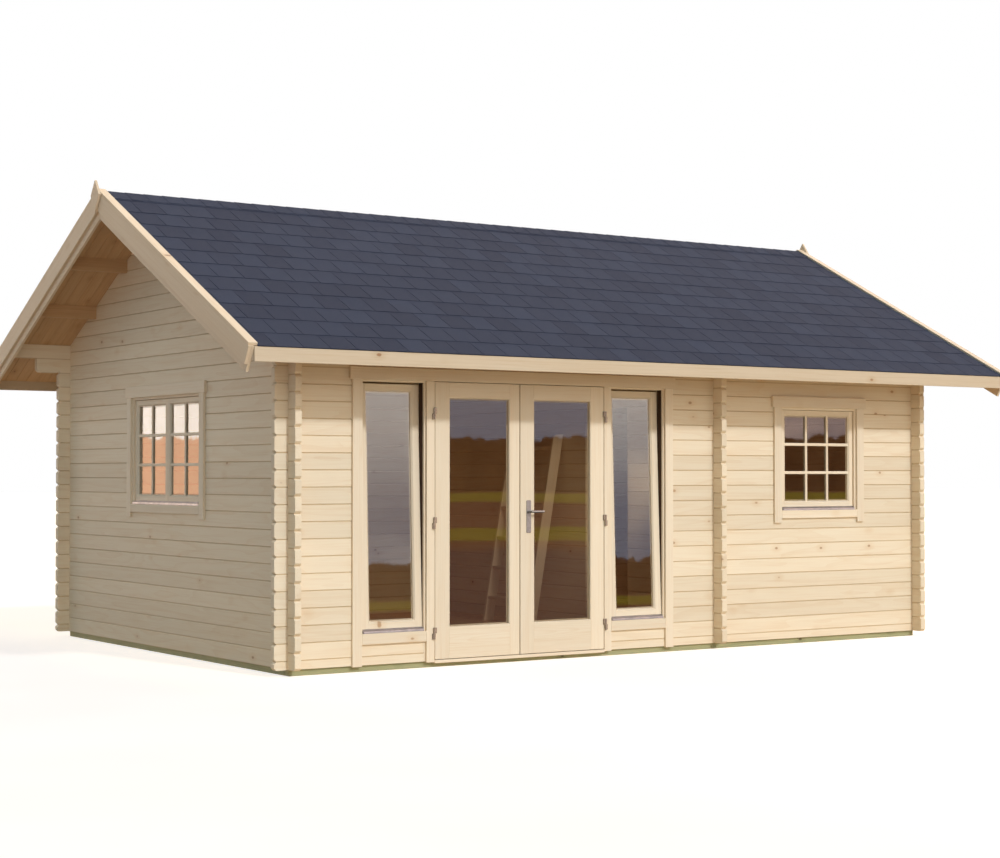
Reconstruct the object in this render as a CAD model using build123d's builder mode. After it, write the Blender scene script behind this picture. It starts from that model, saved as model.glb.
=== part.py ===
from build123d import *
from math import atan, cos, hypot, sin
import os

# Log cabin with a long entrance side, in millimetres. X runs along the ridge, the entrance
# side faces -Y, Z is up. The origin is on the ground under the middle of the house.

# ---- logs and walls ----
house_length = 6120     # over the outer faces of the two gable walls
house_width = 4060      # over the outer faces of the front and rear walls
log_height = 120        # one course
log_thickness = 50
joint_groove = 5        # depth and half height of the V joint between two courses
log_end = 105           # how far the log ends pass the crossing wall
end_bevel = 18          # bevel on the corners of a log end
lintel_course = 17      # full courses under the logs that run over the entrance
bracket_reach = 300     # the short bracket log under the eaves log, past the gable wall
bracket_radius = 40
partition_offset = 798  # middle of the partition, to the right of the house's middle
passage_start = 1120    # passage in the partition, from the front face
passage_width = 600
passage_courses = 16
seat = 0.3              # clearance where two pieces seat on each other

# ---- foundation and floor ----
beam_height = 46
beam_width = 70
beam_inset = 20         # beams lie back from the wall faces
joist_count = 9
joist_width = 60
floor_thickness = 26

# ---- roof ----
roof_slope = 0.5154     # rise over run
eaves_seat = 95.5       # sheathing over the underside of the eaves logs, at the wall faces
eave_overhang = 542     # covering past the long walls
verge_overhang = 575    # bargeboard face past the gable walls
sheathing = 26
covering = 8
ridge_cap_width = 150   # on each slope
ridge_cap_thickness = 4
fascia_height = 100
board = 20              # trim boards
fascia_setback = 6      # the covering reaches past the fascia
barge_width = 133
inner_barge_width = 187
barge_thickness = 22
verge_cap_width = 68
purlin_width = 60
purlin_depth = 105      # on the side that faces the ridge
purlin_places = (760, 1406)     # ridge side of each purlin, from the ridge
finial_width = 160
finial_top = 75         # above the covering at the ridge
finial_middle = 40      # widest place, below it
finial_bottom = 180     # lowest point, below it

# ---- entrance: double door between two tall windows ----
entrance_offset = -1107     # middle of the door from the middle of the house
door_width = 1528       # over both leaves
meeting_shift = 18      # the leaves meet this far left of the middle
leaf_gap = 8            # between the two leaves
leaf_side_gap = 5       # between a leaf and its frame
leaf_low = 58
leaf_high = 2065
leaf_thickness = 45
leaf_proud = 18         # leaf face in front of the logs
outer_stile = 128
pane_from_middle = 115  # from the middle of the door to either opening
top_rail = 115
bottom_rail = 232
bead = 6                # bevel round each pane
glass = 6
glass_hold = 12         # how deep a pane sits in its frame
post_width = 81         # frame posts between door and windows
post_cover = 68         # casing on those posts
side_window_width = 535     # between the casings
frame_reveal = 13       # frame seen inside the casing
frame_board = 30
frame_depth = 75
casing_width = 78
casing_foot = 38
head_low = 2070         # underside of the head casing
head_height = 90
head_ear = 22           # head casing past the side casings
head_board = 24
apron_low = 191
apron_high = 268
threshold_low = 30
threshold_high = 53
threshold_nose = 22
board_gap = 0.5         # between two casing boards
stop_width = 12         # door stop on the frame, behind the leaves
stop_gap = 5
tilt = 1.9              # degrees that the side sashes lean inwards
side_sash_high = 2046
side_stile = 68         # stiles of a side sash
side_top = 56           # its top rail
side_rail = 80          # its bottom rail
sash_thickness = 40
sash_setback = 16       # sash face behind the outer face of the logs
sash_bead = 12          # chamfer round the opening of a sash
drip_height = 30
drip_nose = 12
rebate = 3              # play of a sash in its frame

# ---- small windows ----
window_height = 850     # between the casing boards
front_window_low = 1098
front_window_width = 853
front_window_offset = 1919
gable_window_low = 1158
gable_window_width = 1271
sash_stile = 48
sash_rail = 75          # bottom rail, its lower part behind the drip rail
sash_inset = 20         # frame seen inside the casing
window_foot = 37        # side casings below the apron
window_apron = 65

# ---- ironmongery ----
hinge_heights = (246, 1043, 1836)
hinge_length = 84
hinge_radius = 8
hinge_foot = 8          # what the arm of a hinge covers of the leaf
pin_radius = 4
pin_play = 0.05
hinge_side = 12         # hinge line outside the leaf edge
hinge_proud = 12        # hinge line in front of the leaf face
hinge_lift = 1          # between the two barrels
plate_width = 40
plate_low = 958
plate_high = 1202
plate_thickness = 5
handle_place = 60       # from the middle of the door
handle_height = 1118
lever_length = 105
lever_radius = 9
lever_reach = 52        # middle of the grip in front of the leaf
spindle_play = 0.08

# ---- ladder ----
ladder_width = 700
ladder_middle = 370     # from the middle of the house, towards the rear
ladder_top = 1750
ladder_run = 300        # how far the foot stands off the partition
rail_depth = 100
rail_thickness = 28
tread_count = 6
tread_step = 270
tread_depth = 90
first_tread = 222

# ---- worked out ----
half_length = house_length / 2
half_width = house_width / 2
front_face = -half_width
wall_inside = front_face + log_thickness
first_full_joint = beam_height + log_height
first_half_joint = beam_height + log_height / 2
floor_top = beam_height + floor_thickness
pitch = atan(roof_slope)
covering_drop = covering / cos(pitch)
underside_drop = (covering + sheathing) / cos(pitch)
fascia_face = half_width + eave_overhang - fascia_setback
sheathing_edge = fascia_face - board
barge_face = half_length + verge_overhang
inner_barge_face = barge_face - barge_thickness
roof_end = barge_face - 2 * barge_thickness
lintel_low = first_half_joint + lintel_course * log_height
bracket_low = lintel_low + log_height
eaves_log_low = bracket_low + log_height
underside_ridge = eaves_log_low + eaves_seat + half_width * roof_slope
ridge_height = underside_ridge + underside_drop
entrance_half = door_width / 2
post_low = entrance_half + leaf_side_gap
window_far = post_low + post_cover + side_window_width
opening_half = window_far - frame_reveal + frame_board
passage_front = front_face + passage_start
passage_rear = passage_front + passage_width
passage_high = beam_height + passage_courses * log_height
top_of_all = ridge_height + log_height

os.makedirs("parts", exist_ok=True)


def save(builder, name):
    builder.part.label = name
    export_step(builder.part, f"parts/{name}.step")


def roof_line(drop, at):
    # height of a layer of the roof, a drop below the covering at the ridge
    return ridge_height - drop - abs(at) * roof_slope


def joints_between(first, low, high):
    count = int((high - first) / log_height) + 1
    return [first + n * log_height for n in range(count + 1) if low < first + n * log_height < high]


def log_section(first, low, high):
    # outline across a wall of stacked logs: V joints on both faces
    outer = [(0, low)]
    for z in joints_between(first, low, high):
        outer += [(0, z - joint_groove), (joint_groove, z), (0, z + joint_groove)]
    outer.append((0, high))
    inner = [(log_thickness - across, z) for across, z in reversed(outer)]
    return outer + inner


def across_x(x, y):
    # plane across a wall that runs along X
    return Plane(origin=(x, y, 0), x_dir=(0, 1, 0), z_dir=(1, 0, 0))


def logs_along_x(x_low, x_high, y, low, high):
    with BuildSketch(across_x(x_low, y)) as outline:
        with BuildLine():
            Polyline(*log_section(first_half_joint, low, high), close=True)
        make_face()
    extrude(outline.sketch, amount=x_high - x_low)


def logs_along_y(y_low, y_high, x, low, high):
    with BuildSketch(Plane(origin=(x, y_high, 0), x_dir=(1, 0, 0), z_dir=(0, -1, 0))) as outline:
        with BuildLine():
            Polyline(*log_section(first_full_joint, low, high), close=True)
        make_face()
    extrude(outline.sketch, amount=y_high - y_low)


def bevel_ends_x(x, low, high):
    # V between the ends of two courses, seen from the front
    with BuildSketch(Plane.XZ.offset(-house_width)) as outline:
        with Locations(*[(x, z) for z in [low] + joints_between(first_half_joint, low, high) + [high]]):
            RegularPolygon(end_bevel, 4)
    extrude(outline.sketch, amount=2 * house_width, mode=Mode.SUBTRACT)


def bevel_ends_y(y, x, low, high):
    with BuildSketch(Plane.YZ.offset(x - log_thickness)) as outline:
        with Locations(*[(y, z) for z in [low] + joints_between(first_full_joint, low, high) + [high]]):
            RegularPolygon(end_bevel, 4)
    extrude(outline.sketch, amount=3 * log_thickness, mode=Mode.SUBTRACT)


def notch_x(x_middle, low, high):
    # quarter notches above and below every log, where a cross wall passes through
    places = joints_between(first_half_joint, low - log_height, high + log_height)
    with BuildSketch(Plane.XZ.offset(-house_width)) as outline:
        with Locations(*[(x_middle, z) for z in places]):
            Rectangle(log_thickness + 2 * seat, log_height / 2 + seat)
    extrude(outline.sketch, amount=2 * house_width, mode=Mode.SUBTRACT)


def notch_y(y_middle, x, high):
    places = [beam_height] + joints_between(first_full_joint, beam_height, high)
    with BuildSketch(Plane.YZ.offset(x - log_thickness)) as outline:
        with Locations(*[(y_middle, z) for z in places]):
            Rectangle(log_thickness + 2 * seat, log_height / 2 + seat)
    extrude(outline.sketch, amount=3 * log_thickness, mode=Mode.SUBTRACT)


def box(x_low, x_high, y_low, y_high, z_low, z_high, mode=Mode.ADD):
    with BuildSketch(Plane.XY.offset(z_low)) as outline:
        with Locations(((x_low + x_high) / 2, (y_low + y_high) / 2)):
            Rectangle(x_high - x_low, y_high - y_low)
    extrude(outline.sketch, amount=z_high - z_low, mode=mode)


def under_roof():
    # keeps what lies below the sheathing
    reach = half_width + eave_overhang
    with BuildSketch(Plane.YZ.offset(-2 * half_length)) as outline:
        with BuildLine():
            Polyline(
                (-reach, 0),
                (reach, 0),
                (reach, roof_line(underside_drop + seat, reach)),
                (0, underside_ridge - seat),
                (-reach, roof_line(underside_drop + seat, reach)),
                close=True,
            )
        make_face()
    extrude(outline.sketch, amount=4 * half_length, mode=Mode.INTERSECT)


def purlin_outline(near, play):
    # purlin with a flat underside and its top on the slope of the sheathing, rear side
    low = roof_line(underside_drop, near) - purlin_depth
    far = near + purlin_width
    return [
        (near - play, low - play),
        (far + play, low - play),
        (far + play, roof_line(underside_drop + seat, far) + play),
        (near - play, roof_line(underside_drop + seat, near) + play),
    ]


def purlin_prisms(x_low, x_high, play, mode):
    with BuildSketch(Plane.YZ.offset(x_low)) as outline:
        for near in purlin_places:
            for side in (-1, 1):
                with BuildLine():
                    Polyline(*[(side * y, z) for y, z in purlin_outline(near, play)], close=True)
                make_face()
    extrude(outline.sketch, amount=x_high - x_low, mode=mode)


# ---- foundation and floor ----
beam_front = front_face + beam_inset
beam_left = -half_length + beam_inset
with BuildPart() as foundation_beams:
    for side in (-1, 1):
        y_beam = sorted((side * (half_width - beam_inset), side * (half_width - beam_inset - beam_width)))
        x_beam = sorted((side * (half_length - beam_inset), side * (half_length - beam_inset - beam_width)))
        inner = half_width - beam_inset - beam_width - seat
        partition_left = partition_offset - beam_width / 2
        partition_right = partition_offset + beam_width / 2
        box(beam_left, partition_left - seat, *y_beam, 0, beam_height)
        box(partition_right + seat, half_length - beam_inset, *y_beam, 0, beam_height)
        box(*x_beam, -inner, inner, 0, beam_height)
    box(partition_left, partition_right, beam_front, half_width - beam_inset, 0, beam_height)
    joist_pitch = (house_length - 2 * beam_inset - beam_width) / (joist_count + 1)
    for n in range(1, joist_count + 1):
        middle = beam_left + beam_width / 2 + n * joist_pitch
        clear = abs(middle - partition_offset) > beam_width
        if clear:
            box(middle - joist_width / 2, middle + joist_width / 2, -inner, inner, 0, beam_height)
save(foundation_beams, "foundation_beams")

inside_x = half_length - log_thickness - seat
inside_y = half_width - log_thickness - seat
partition_face = partition_offset - log_thickness / 2
with BuildPart() as floor:
    box(-inside_x, inside_x, -inside_y, inside_y, beam_height, floor_top)
    slot = (partition_face - seat, partition_face + log_thickness + seat)
    box(*slot, -inside_y, passage_front + seat, beam_height, floor_top, Mode.SUBTRACT)
    box(*slot, passage_rear - seat, inside_y, beam_height, floor_top, Mode.SUBTRACT)
save(floor, "floor")

# ---- walls along X ----
wall_end = half_length + log_end
corner_x = half_length - log_thickness / 2
corner_y = half_width - log_thickness / 2
opening_left = entrance_offset - opening_half
opening_right = entrance_offset + opening_half

with BuildPart() as front_wall_left:
    logs_along_x(-wall_end, opening_left, front_face, beam_height, lintel_low)
    notch_x(-corner_x, beam_height, lintel_low)
    bevel_ends_x(-wall_end, beam_height, lintel_low)
save(front_wall_left, "front_wall_left")

front_rough_half = front_window_width / 2 - sash_inset + frame_board
front_rough_low = front_window_low - window_apron
front_rough_high = front_window_low + window_height + frame_board
with BuildPart() as front_wall_right:
    logs_along_x(opening_right, wall_end, front_face, beam_height, lintel_low)
    notch_x(partition_offset, beam_height, lintel_low)
    notch_x(corner_x, beam_height, lintel_low)
    bevel_ends_x(wall_end, beam_height, lintel_low)
    window_x = (front_window_offset - front_rough_half, front_window_offset + front_rough_half)
    box(*window_x, front_face, wall_inside, front_rough_low, front_rough_high, Mode.SUBTRACT)
save(front_wall_right, "front_wall_right")

sill_course_top = first_half_joint + log_height
post_outer = post_low + post_width
with BuildPart() as front_wall_under_windows:
    for side in (-1, 1):
        near = entrance_offset + side * (post_outer + seat)
        far = entrance_offset + side * (opening_half - seat)
        ends = sorted((near, far))
        logs_along_x(*ends, front_face, beam_height, sill_course_top)
save(front_wall_under_windows, "front_wall_under_windows")


def eaves_logs(y_low):
    # lintel course, bracket course and eaves log, each longer than the one below
    logs_along_x(-wall_end, wall_end, y_low, lintel_low, bracket_low)
    bracket_end = half_length + bracket_reach
    logs_along_x(-bracket_end, bracket_end, y_low, bracket_low, eaves_log_low)
    logs_along_x(-roof_end + seat, roof_end - seat, y_low, eaves_log_low, eaves_log_low + log_height)


def finish_eaves_logs():
    under_roof()
    bracket_end = half_length + bracket_reach
    for side in (-1, 1):
        with BuildSketch(Plane.XZ.offset(-house_width)) as outline:
            with Locations((side * bracket_end, bracket_low)):
                Rectangle(2 * bracket_radius, 2 * bracket_radius)
            with Locations((side * (bracket_end - bracket_radius), bracket_low + bracket_radius)):
                Circle(bracket_radius, mode=Mode.SUBTRACT)
        extrude(outline.sketch, amount=2 * house_width, mode=Mode.SUBTRACT)
        with BuildSketch(Plane.XZ.offset(-house_width)) as outline:
            with Locations((side * wall_end, lintel_low), (side * wall_end, bracket_low)):
                RegularPolygon(end_bevel, 4)
        extrude(outline.sketch, amount=2 * house_width, mode=Mode.SUBTRACT)
        notch_x(side * corner_x, lintel_low, eaves_log_low)
    notch_x(partition_offset, lintel_low, eaves_log_low)


with BuildPart() as front_wall_top:
    eaves_logs(front_face)
    finish_eaves_logs()
save(front_wall_top, "front_wall_top")

with BuildPart() as rear_wall:
    logs_along_x(-wall_end, wall_end, half_width - log_thickness, beam_height, lintel_low)
    for side in (-1, 1):
        notch_x(side * corner_x, beam_height, lintel_low)
        bevel_ends_x(side * wall_end, beam_height, lintel_low)
    notch_x(partition_offset, beam_height, lintel_low)
save(rear_wall, "rear_wall")

with BuildPart() as rear_wall_top:
    eaves_logs(half_width - log_thickness)
    finish_eaves_logs()
save(rear_wall_top, "rear_wall_top")

# ---- walls along Y ----
cross_end = half_width + log_end
cross_top = eaves_log_low + log_height / 4


def cross_wall(y_low, y_high, x, low):
    # logs up to the roof; past the long walls they stop under the eaves log
    logs_along_y(y_low, y_high, x, low, top_of_all)
    under_roof()
    for side in (-1, 1):
        notch_y(side * corner_y, x, cross_top)
        edge = half_width - log_thickness - seat
        ends = sorted((side * edge, side * (cross_end + log_end)))
        box(x - 1, x + log_thickness + 1, *ends, cross_top - seat / 2, top_of_all, Mode.SUBTRACT)
        bevel_ends_y(side * cross_end, x, beam_height, cross_top)
    purlin_prisms(x - log_thickness, x + 2 * log_thickness, seat, Mode.SUBTRACT)


gable_rough_half = gable_window_width / 2 - sash_inset + frame_board
gable_rough_low = gable_window_low - window_apron
gable_rough_high = gable_window_low + window_height + frame_board
with BuildPart() as left_gable_wall:
    cross_wall(-cross_end, cross_end, -half_length, beam_height)
    window_y = (-gable_rough_half, gable_rough_half)
    wall_x = (-half_length, -half_length + log_thickness)
    box(*wall_x, *window_y, gable_rough_low, gable_rough_high, Mode.SUBTRACT)
save(left_gable_wall, "left_gable_wall")

with BuildPart() as right_gable_wall:
    cross_wall(-cross_end, cross_end, half_length - log_thickness, beam_height)
save(right_gable_wall, "right_gable_wall")

with BuildPart() as partition_front:
    cross_wall(-cross_end, passage_front, partition_face, beam_height)
save(partition_front, "partition_front")

with BuildPart() as partition_rear:
    cross_wall(passage_rear, cross_end, partition_face, beam_height)
save(partition_rear, "partition_rear")

with BuildPart() as partition_over:
    cross_wall(passage_front + seat, passage_rear - seat, partition_face, passage_high)
save(partition_over, "partition_over")

# ---- roof ----
with BuildPart() as purlins:
    purlin_prisms(-roof_end + seat, roof_end - seat, 0, Mode.ADD)
save(purlins, "purlins")


def roof_layer(side, drop, thickness, edge, x_half):
    # one slope of a layer, square to the slope, with a plumb joint at the ridge
    rise = thickness / cos(pitch)
    with BuildSketch(Plane.YZ.offset(-x_half)) as outline:
        with BuildLine():
            Polyline(
                (side * seat, roof_line(drop, seat)),
                (side * edge, roof_line(drop, edge)),
                (side * edge, roof_line(drop - rise, edge)),
                (side * seat, roof_line(drop - rise, seat)),
                close=True,
            )
        make_face()
    extrude(outline.sketch, amount=2 * x_half)


covering_end = barge_face - verge_cap_width - seat
eave_edge = half_width + eave_overhang
for side, name in ((-1, "front"), (1, "rear")):
    with BuildPart() as roof_boards:
        roof_layer(side, underside_drop, sheathing, sheathing_edge, roof_end - seat)
    save(roof_boards, f"roof_boards_{name}")
    with BuildPart() as shingles:
        roof_layer(side, covering_drop, covering - seat, eave_edge, covering_end)
    save(shingles, f"shingles_{name}")

with BuildPart() as ridge_cap:
    for side in (-1, 1):
        cap_drop = -ridge_cap_thickness / cos(pitch)
        with BuildSketch(Plane.YZ.offset(-covering_end)):
            with BuildLine():
                Polyline(
                    (0, roof_line(0, 0) + seat),
                    (side * ridge_cap_width, roof_line(0, ridge_cap_width) + seat),
                    (side * ridge_cap_width, roof_line(cap_drop, ridge_cap_width) + seat),
                    (0, roof_line(cap_drop, 0) + seat),
                    close=True,
                )
            make_face()
        extrude(amount=2 * covering_end)
save(ridge_cap, "ridge_cap")

with BuildPart() as fascia_boards:
    for side in (-1, 1):
        y_fascia = sorted((side * (fascia_face - board + seat), side * fascia_face))
        fascia_high = roof_line(covering_drop, fascia_face)
        fascia_end = inner_barge_face - barge_thickness - seat
        box(-fascia_end, fascia_end, *y_fascia, fascia_high - fascia_height, fascia_high)
save(fascia_boards, "fascia_boards")


def sloping_board(side, x_low, x_high, drop, width):
    # board under the verge, plumb at the ridge and cut square at the eave
    ridge_y = side * seat
    top_y = side * fascia_face
    top_z = roof_line(drop, fascia_face)
    low_y = side * (fascia_face - width * sin(pitch))
    low_z = top_z - width * cos(pitch)
    with BuildSketch(Plane.YZ.offset(x_low)) as outline:
        with BuildLine():
            Polyline(
                (ridge_y, roof_line(drop, seat)),
                (top_y, top_z),
                (low_y, low_z),
                (ridge_y, roof_line(drop + width / cos(pitch), seat)),
                close=True,
            )
        make_face()
    extrude(outline.sketch, amount=x_high - x_low)


for end, name in ((-1, "left"), (1, "right")):
    outer = sorted((end * barge_face, end * (inner_barge_face + seat)))
    with BuildPart() as bargeboards:
        for side in (-1, 1):
            sloping_board(side, *outer, covering_drop, barge_width)
    save(bargeboards, f"{name}_bargeboards")
    inner = sorted((end * inner_barge_face, end * roof_end))
    with BuildPart() as inner_bargeboards:
        for side in (-1, 1):
            sloping_board(side, *inner, covering_drop, inner_barge_width)
    save(inner_bargeboards, f"{name}_inner_bargeboards")

with BuildPart() as verge_caps:
    for end in (-1, 1):
        strip = sorted((end * barge_face, end * (barge_face - verge_cap_width)))
        for side in (-1, 1):
            sloping_board(side, *strip, covering_drop - seat - board / cos(pitch), board)
save(verge_caps, "verge_caps")

with BuildPart() as finials:
    for end in (-1, 1):
        with BuildSketch(Plane.YZ.offset(min(end * (barge_face + seat), end * (barge_face + board)))):
            with BuildLine():
                Polyline(
                    (0, ridge_height + finial_top),
                    (finial_width / 2, ridge_height - finial_middle),
                    (0, ridge_height - finial_bottom),
                    (-finial_width / 2, ridge_height - finial_middle),
                    close=True,
                )
            make_face()
        extrude(amount=board - seat)
save(finials, "finials")

# ---- entrance frame, threshold and casings ----
frame_rear = front_face + frame_depth
leaf_face = front_face - leaf_proud
leaf_rear = leaf_face + leaf_thickness
stop_face = leaf_rear + stop_gap
frame_foot = beam_height + seat
window_head = head_low - frame_reveal
window_jamb = window_far - frame_reveal
frame_half = opening_half - seat
with BuildPart() as entrance_frame:
    for side in (-1, 1):
        post_far = entrance_offset + side * post_outer
        post = sorted((entrance_offset + side * post_low, post_far))
        stop = sorted((entrance_offset + side * (post_low - stop_width), post_far))
        jamb = sorted((entrance_offset + side * window_jamb, entrance_offset + side * frame_half))
        window = sorted((post_far, entrance_offset + side * window_jamb))
        box(*post, front_face, wall_inside, frame_foot, floor_top + seat)
        box(*post, front_face, frame_rear, floor_top + seat, head_low)
        box(*stop, stop_face, frame_rear, floor_top + seat, head_low)
        box(*jamb, front_face, frame_rear, sill_course_top + seat, head_low)
        box(*window, front_face, frame_rear, sill_course_top + seat, apron_high)
        box(*window, front_face, frame_rear, window_head, head_low)
    head_x = (entrance_offset - frame_half, entrance_offset + frame_half)
    stop_x = (entrance_offset - post_low, entrance_offset + post_low)
    box(*head_x, front_face, frame_rear, head_low, lintel_low - seat)
    box(*stop_x, stop_face, frame_rear, head_low - stop_width, head_low)
save(entrance_frame, "entrance_frame")

with BuildPart() as door_threshold:
    nose_face = front_face - threshold_nose
    post_line = post_low - seat
    tread_x = (entrance_offset - post_line, entrance_offset + post_line)
    box(*tread_x, front_face, wall_inside, frame_foot, threshold_high)
    box(*tread_x, nose_face, beam_front - seat, threshold_low, threshold_high)
save(door_threshold, "door_threshold")

casing_face = front_face - board
window_near = post_low + post_cover
casing_outer = window_far + casing_width
with BuildPart() as entrance_casing:
    for side in (-1, 1):
        post_board = sorted((entrance_offset + side * post_low, entrance_offset + side * window_near))
        side_board = sorted((entrance_offset + side * window_far, entrance_offset + side * casing_outer))
        apron_inner = window_near + board_gap
        apron_outer = window_far - board_gap
        apron_board = sorted((entrance_offset + side * apron_inner, entrance_offset + side * apron_outer))
        box(*post_board, casing_face, front_face, casing_foot, head_low - board_gap)
        box(*side_board, casing_face, front_face, casing_foot, head_low - board_gap)
        box(*apron_board, casing_face, front_face, apron_low, apron_high)
    head_half = casing_outer + head_ear
    head_x = (entrance_offset - head_half, entrance_offset + head_half)
    box(*head_x, front_face - head_board, front_face, head_low, head_low + head_height)
save(entrance_casing, "entrance_casing")

# ---- door leaves ----
glass_low = leaf_low + bottom_rail
glass_high = leaf_high - top_rail
glass_far = entrance_half - outer_stile
meeting = entrance_offset - meeting_shift
glass_middle = (leaf_face + leaf_rear) / 2
pane_y = (glass_middle - glass / 2, glass_middle + glass / 2)
groove_y = (pane_y[0] - seat, pane_y[1] + seat)
spindle_x = entrance_offset + handle_place
for side, name in ((-1, "left"), (1, "right")):
    leaf = sorted((meeting + side * leaf_gap / 2, entrance_offset + side * entrance_half))
    pane = sorted((entrance_offset + side * pane_from_middle, entrance_offset + side * glass_far))
    held = (pane[0] - glass_hold, pane[1] + glass_hold)
    with BuildPart() as door_leaf:
        box(*leaf, leaf_face, leaf_rear, leaf_low, leaf_high)
        box(*pane, leaf_face, leaf_rear, glass_low, glass_high, Mode.SUBTRACT)
        rims = door_leaf.edges().filter_by(lambda e: pane[0] - 1 < e.center().X < pane[1] + 1)
        rims = rims.filter_by(lambda e: glass_low - 1 < e.center().Z < glass_high + 1)
        chamfer(rims.filter_by(Axis.Y, reverse=True), bead)
        groove_x = (held[0] - seat, held[1] + seat)
        groove_z = (glass_low - glass_hold - seat, glass_high + glass_hold + seat)
        box(*groove_x, *groove_y, *groove_z, Mode.SUBTRACT)
        if side > 0:
            with BuildSketch(Plane.XZ.offset(-leaf_rear)):
                with Locations((spindle_x, handle_height)):
                    Circle(lever_radius + spindle_play)
            extrude(amount=leaf_thickness, mode=Mode.SUBTRACT)
    save(door_leaf, f"door_leaf_{name}")
    with BuildPart() as door_glass:
        box(*held, *pane_y, glass_low - glass_hold, glass_high + glass_hold)
    save(door_glass, f"door_glass_{name}")

# ---- hinges: a barrel and pin on the frame, a barrel with a bore on the leaf ----
hinge_y = leaf_face - hinge_proud
half_barrel = (hinge_length - hinge_lift) / 2


def barrel(x, low, high, radius, mode=Mode.ADD):
    with BuildSketch(Plane.XY.offset(low)) as outline:
        with Locations((x, hinge_y)):
            Circle(radius)
    extrude(outline.sketch, amount=high - low, mode=mode)


with BuildPart() as door_hinge_pins:
    for side in (-1, 1):
        x_hinge = entrance_offset + side * (entrance_half + hinge_side)
        for z_hinge in hinge_heights:
            base = z_hinge - hinge_length / 2
            plate = sorted((x_hinge, x_hinge + side * 2 * hinge_radius))
            barrel(x_hinge, base, base + half_barrel, hinge_radius)
            barrel(x_hinge, base, base + hinge_length - hinge_lift, pin_radius)
            box(*plate, hinge_y, casing_face, base, base + half_barrel)
save(door_hinge_pins, "door_hinge_pins")

for side, name in ((-1, "left"), (1, "right")):
    x_hinge = entrance_offset + side * (entrance_half + hinge_side)
    with BuildPart() as door_hinges:
        for z_hinge in hinge_heights:
            base = z_hinge - hinge_length / 2 + half_barrel + hinge_lift
            leaf_edge = x_hinge - side * hinge_side
            plate_end = leaf_edge - side * hinge_foot
            arm = sorted((x_hinge, plate_end))
            foot = sorted((leaf_edge, plate_end))
            barrel(x_hinge, base, base + half_barrel, hinge_radius)
            box(*arm, hinge_y, casing_face - rebate, base, base + half_barrel)
            box(*foot, hinge_y, leaf_face, base, base + half_barrel)
            barrel(x_hinge, base, base + half_barrel, pin_radius + pin_play, Mode.SUBTRACT)
    save(door_hinges, f"door_hinges_{name}")

# ---- handle ----
with BuildPart() as handle_plates:
    for face in (leaf_face - plate_thickness, leaf_rear):
        plate_x = (spindle_x - plate_width / 2, spindle_x + plate_width / 2)
        box(*plate_x, face, face + plate_thickness, plate_low, plate_high)
    with BuildSketch(Plane.XZ.offset(-leaf_rear - plate_thickness)):
        with Locations((spindle_x, handle_height)):
            Circle(lever_radius + spindle_play)
    extrude(amount=leaf_thickness + 2 * plate_thickness, mode=Mode.SUBTRACT)
    fillet(handle_plates.edges().filter_by(Axis.Y).filter_by(GeomType.LINE), plate_width / 4)
save(handle_plates, "handle_plates")

with BuildPart() as handle_lever:
    outside = leaf_face - lever_reach
    inside = leaf_rear + lever_reach
    grip_end = spindle_x + lever_length
    with BuildLine() as lever_path:
        Polyline(
            (grip_end, outside, handle_height),
            (spindle_x, outside, handle_height),
            (spindle_x, inside, handle_height),
            (grip_end, inside, handle_height),
        )
    with BuildSketch(Plane(origin=(grip_end, outside, handle_height), z_dir=(-1, 0, 0))):
        Circle(lever_radius)
    sweep(transition=Transition.RIGHT)
save(handle_lever, "handle_lever")

# ---- side windows beside the door, their sashes leaning inwards ----
sash_face = front_face + sash_setback
sash_y = (sash_face, sash_face + sash_thickness)
sash_glass_y = (
    sash_face + (sash_thickness - glass) / 2,
    sash_face + (sash_thickness + glass) / 2,
)


def sash(x, z, stile, rail, top):
    # sash with a chamfer round its opening and a groove that holds the pane
    hold = glass_hold + seat
    inner_x = (x[0] + stile, x[1] - stile)
    inner_z = (z[0] + rail, z[1] - top)
    box(*x, *sash_y, *z)
    box(*inner_x, *sash_y, *inner_z, Mode.SUBTRACT)
    with BuildSketch(Plane.XZ.offset(-sash_face)) as outline:
        with Locations((sum(inner_x) / 2, sum(inner_z) / 2)):
            Rectangle(inner_x[1] - inner_x[0] + 2 * sash_bead, inner_z[1] - inner_z[0] + 2 * sash_bead)
    extrude(outline.sketch, amount=-sash_bead, taper=45, mode=Mode.SUBTRACT)
    groove_x = (inner_x[0] - hold, inner_x[1] + hold)
    groove_z = (inner_z[0] - hold, inner_z[1] + hold)
    box(*groove_x, sash_glass_y[0] - seat, sash_glass_y[1] + seat, *groove_z, Mode.SUBTRACT)


def sash_pane(x, z, stile, rail, top):
    pane_x = (x[0] + stile - glass_hold, x[1] - stile + glass_hold)
    pane_z = (z[0] + rail - glass_hold, z[1] - top + glass_hold)
    box(*pane_x, *sash_glass_y, *pane_z)


side_sash_low = apron_high + rebate
side_sash_z = (side_sash_low, side_sash_high)
lean = Axis((0, sash_face, side_sash_low), (1, 0, 0))
side_places = []
for side in (-1, 1):
    near = entrance_offset + side * (post_outer + rebate)
    far = entrance_offset + side * (window_jamb - rebate)
    side_places.append(sorted((near, far)))
with BuildPart() as upright_sashes:
    for place in side_places:
        sash(place, side_sash_z, side_stile, side_rail, side_top)
with BuildPart() as upright_panes:
    for place in side_places:
        sash_pane(place, side_sash_z, side_stile, side_rail, side_top)
with BuildPart() as side_window_sashes:
    add(upright_sashes.part.rotate(lean, -tilt))
save(side_window_sashes, "side_window_sashes")

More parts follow.
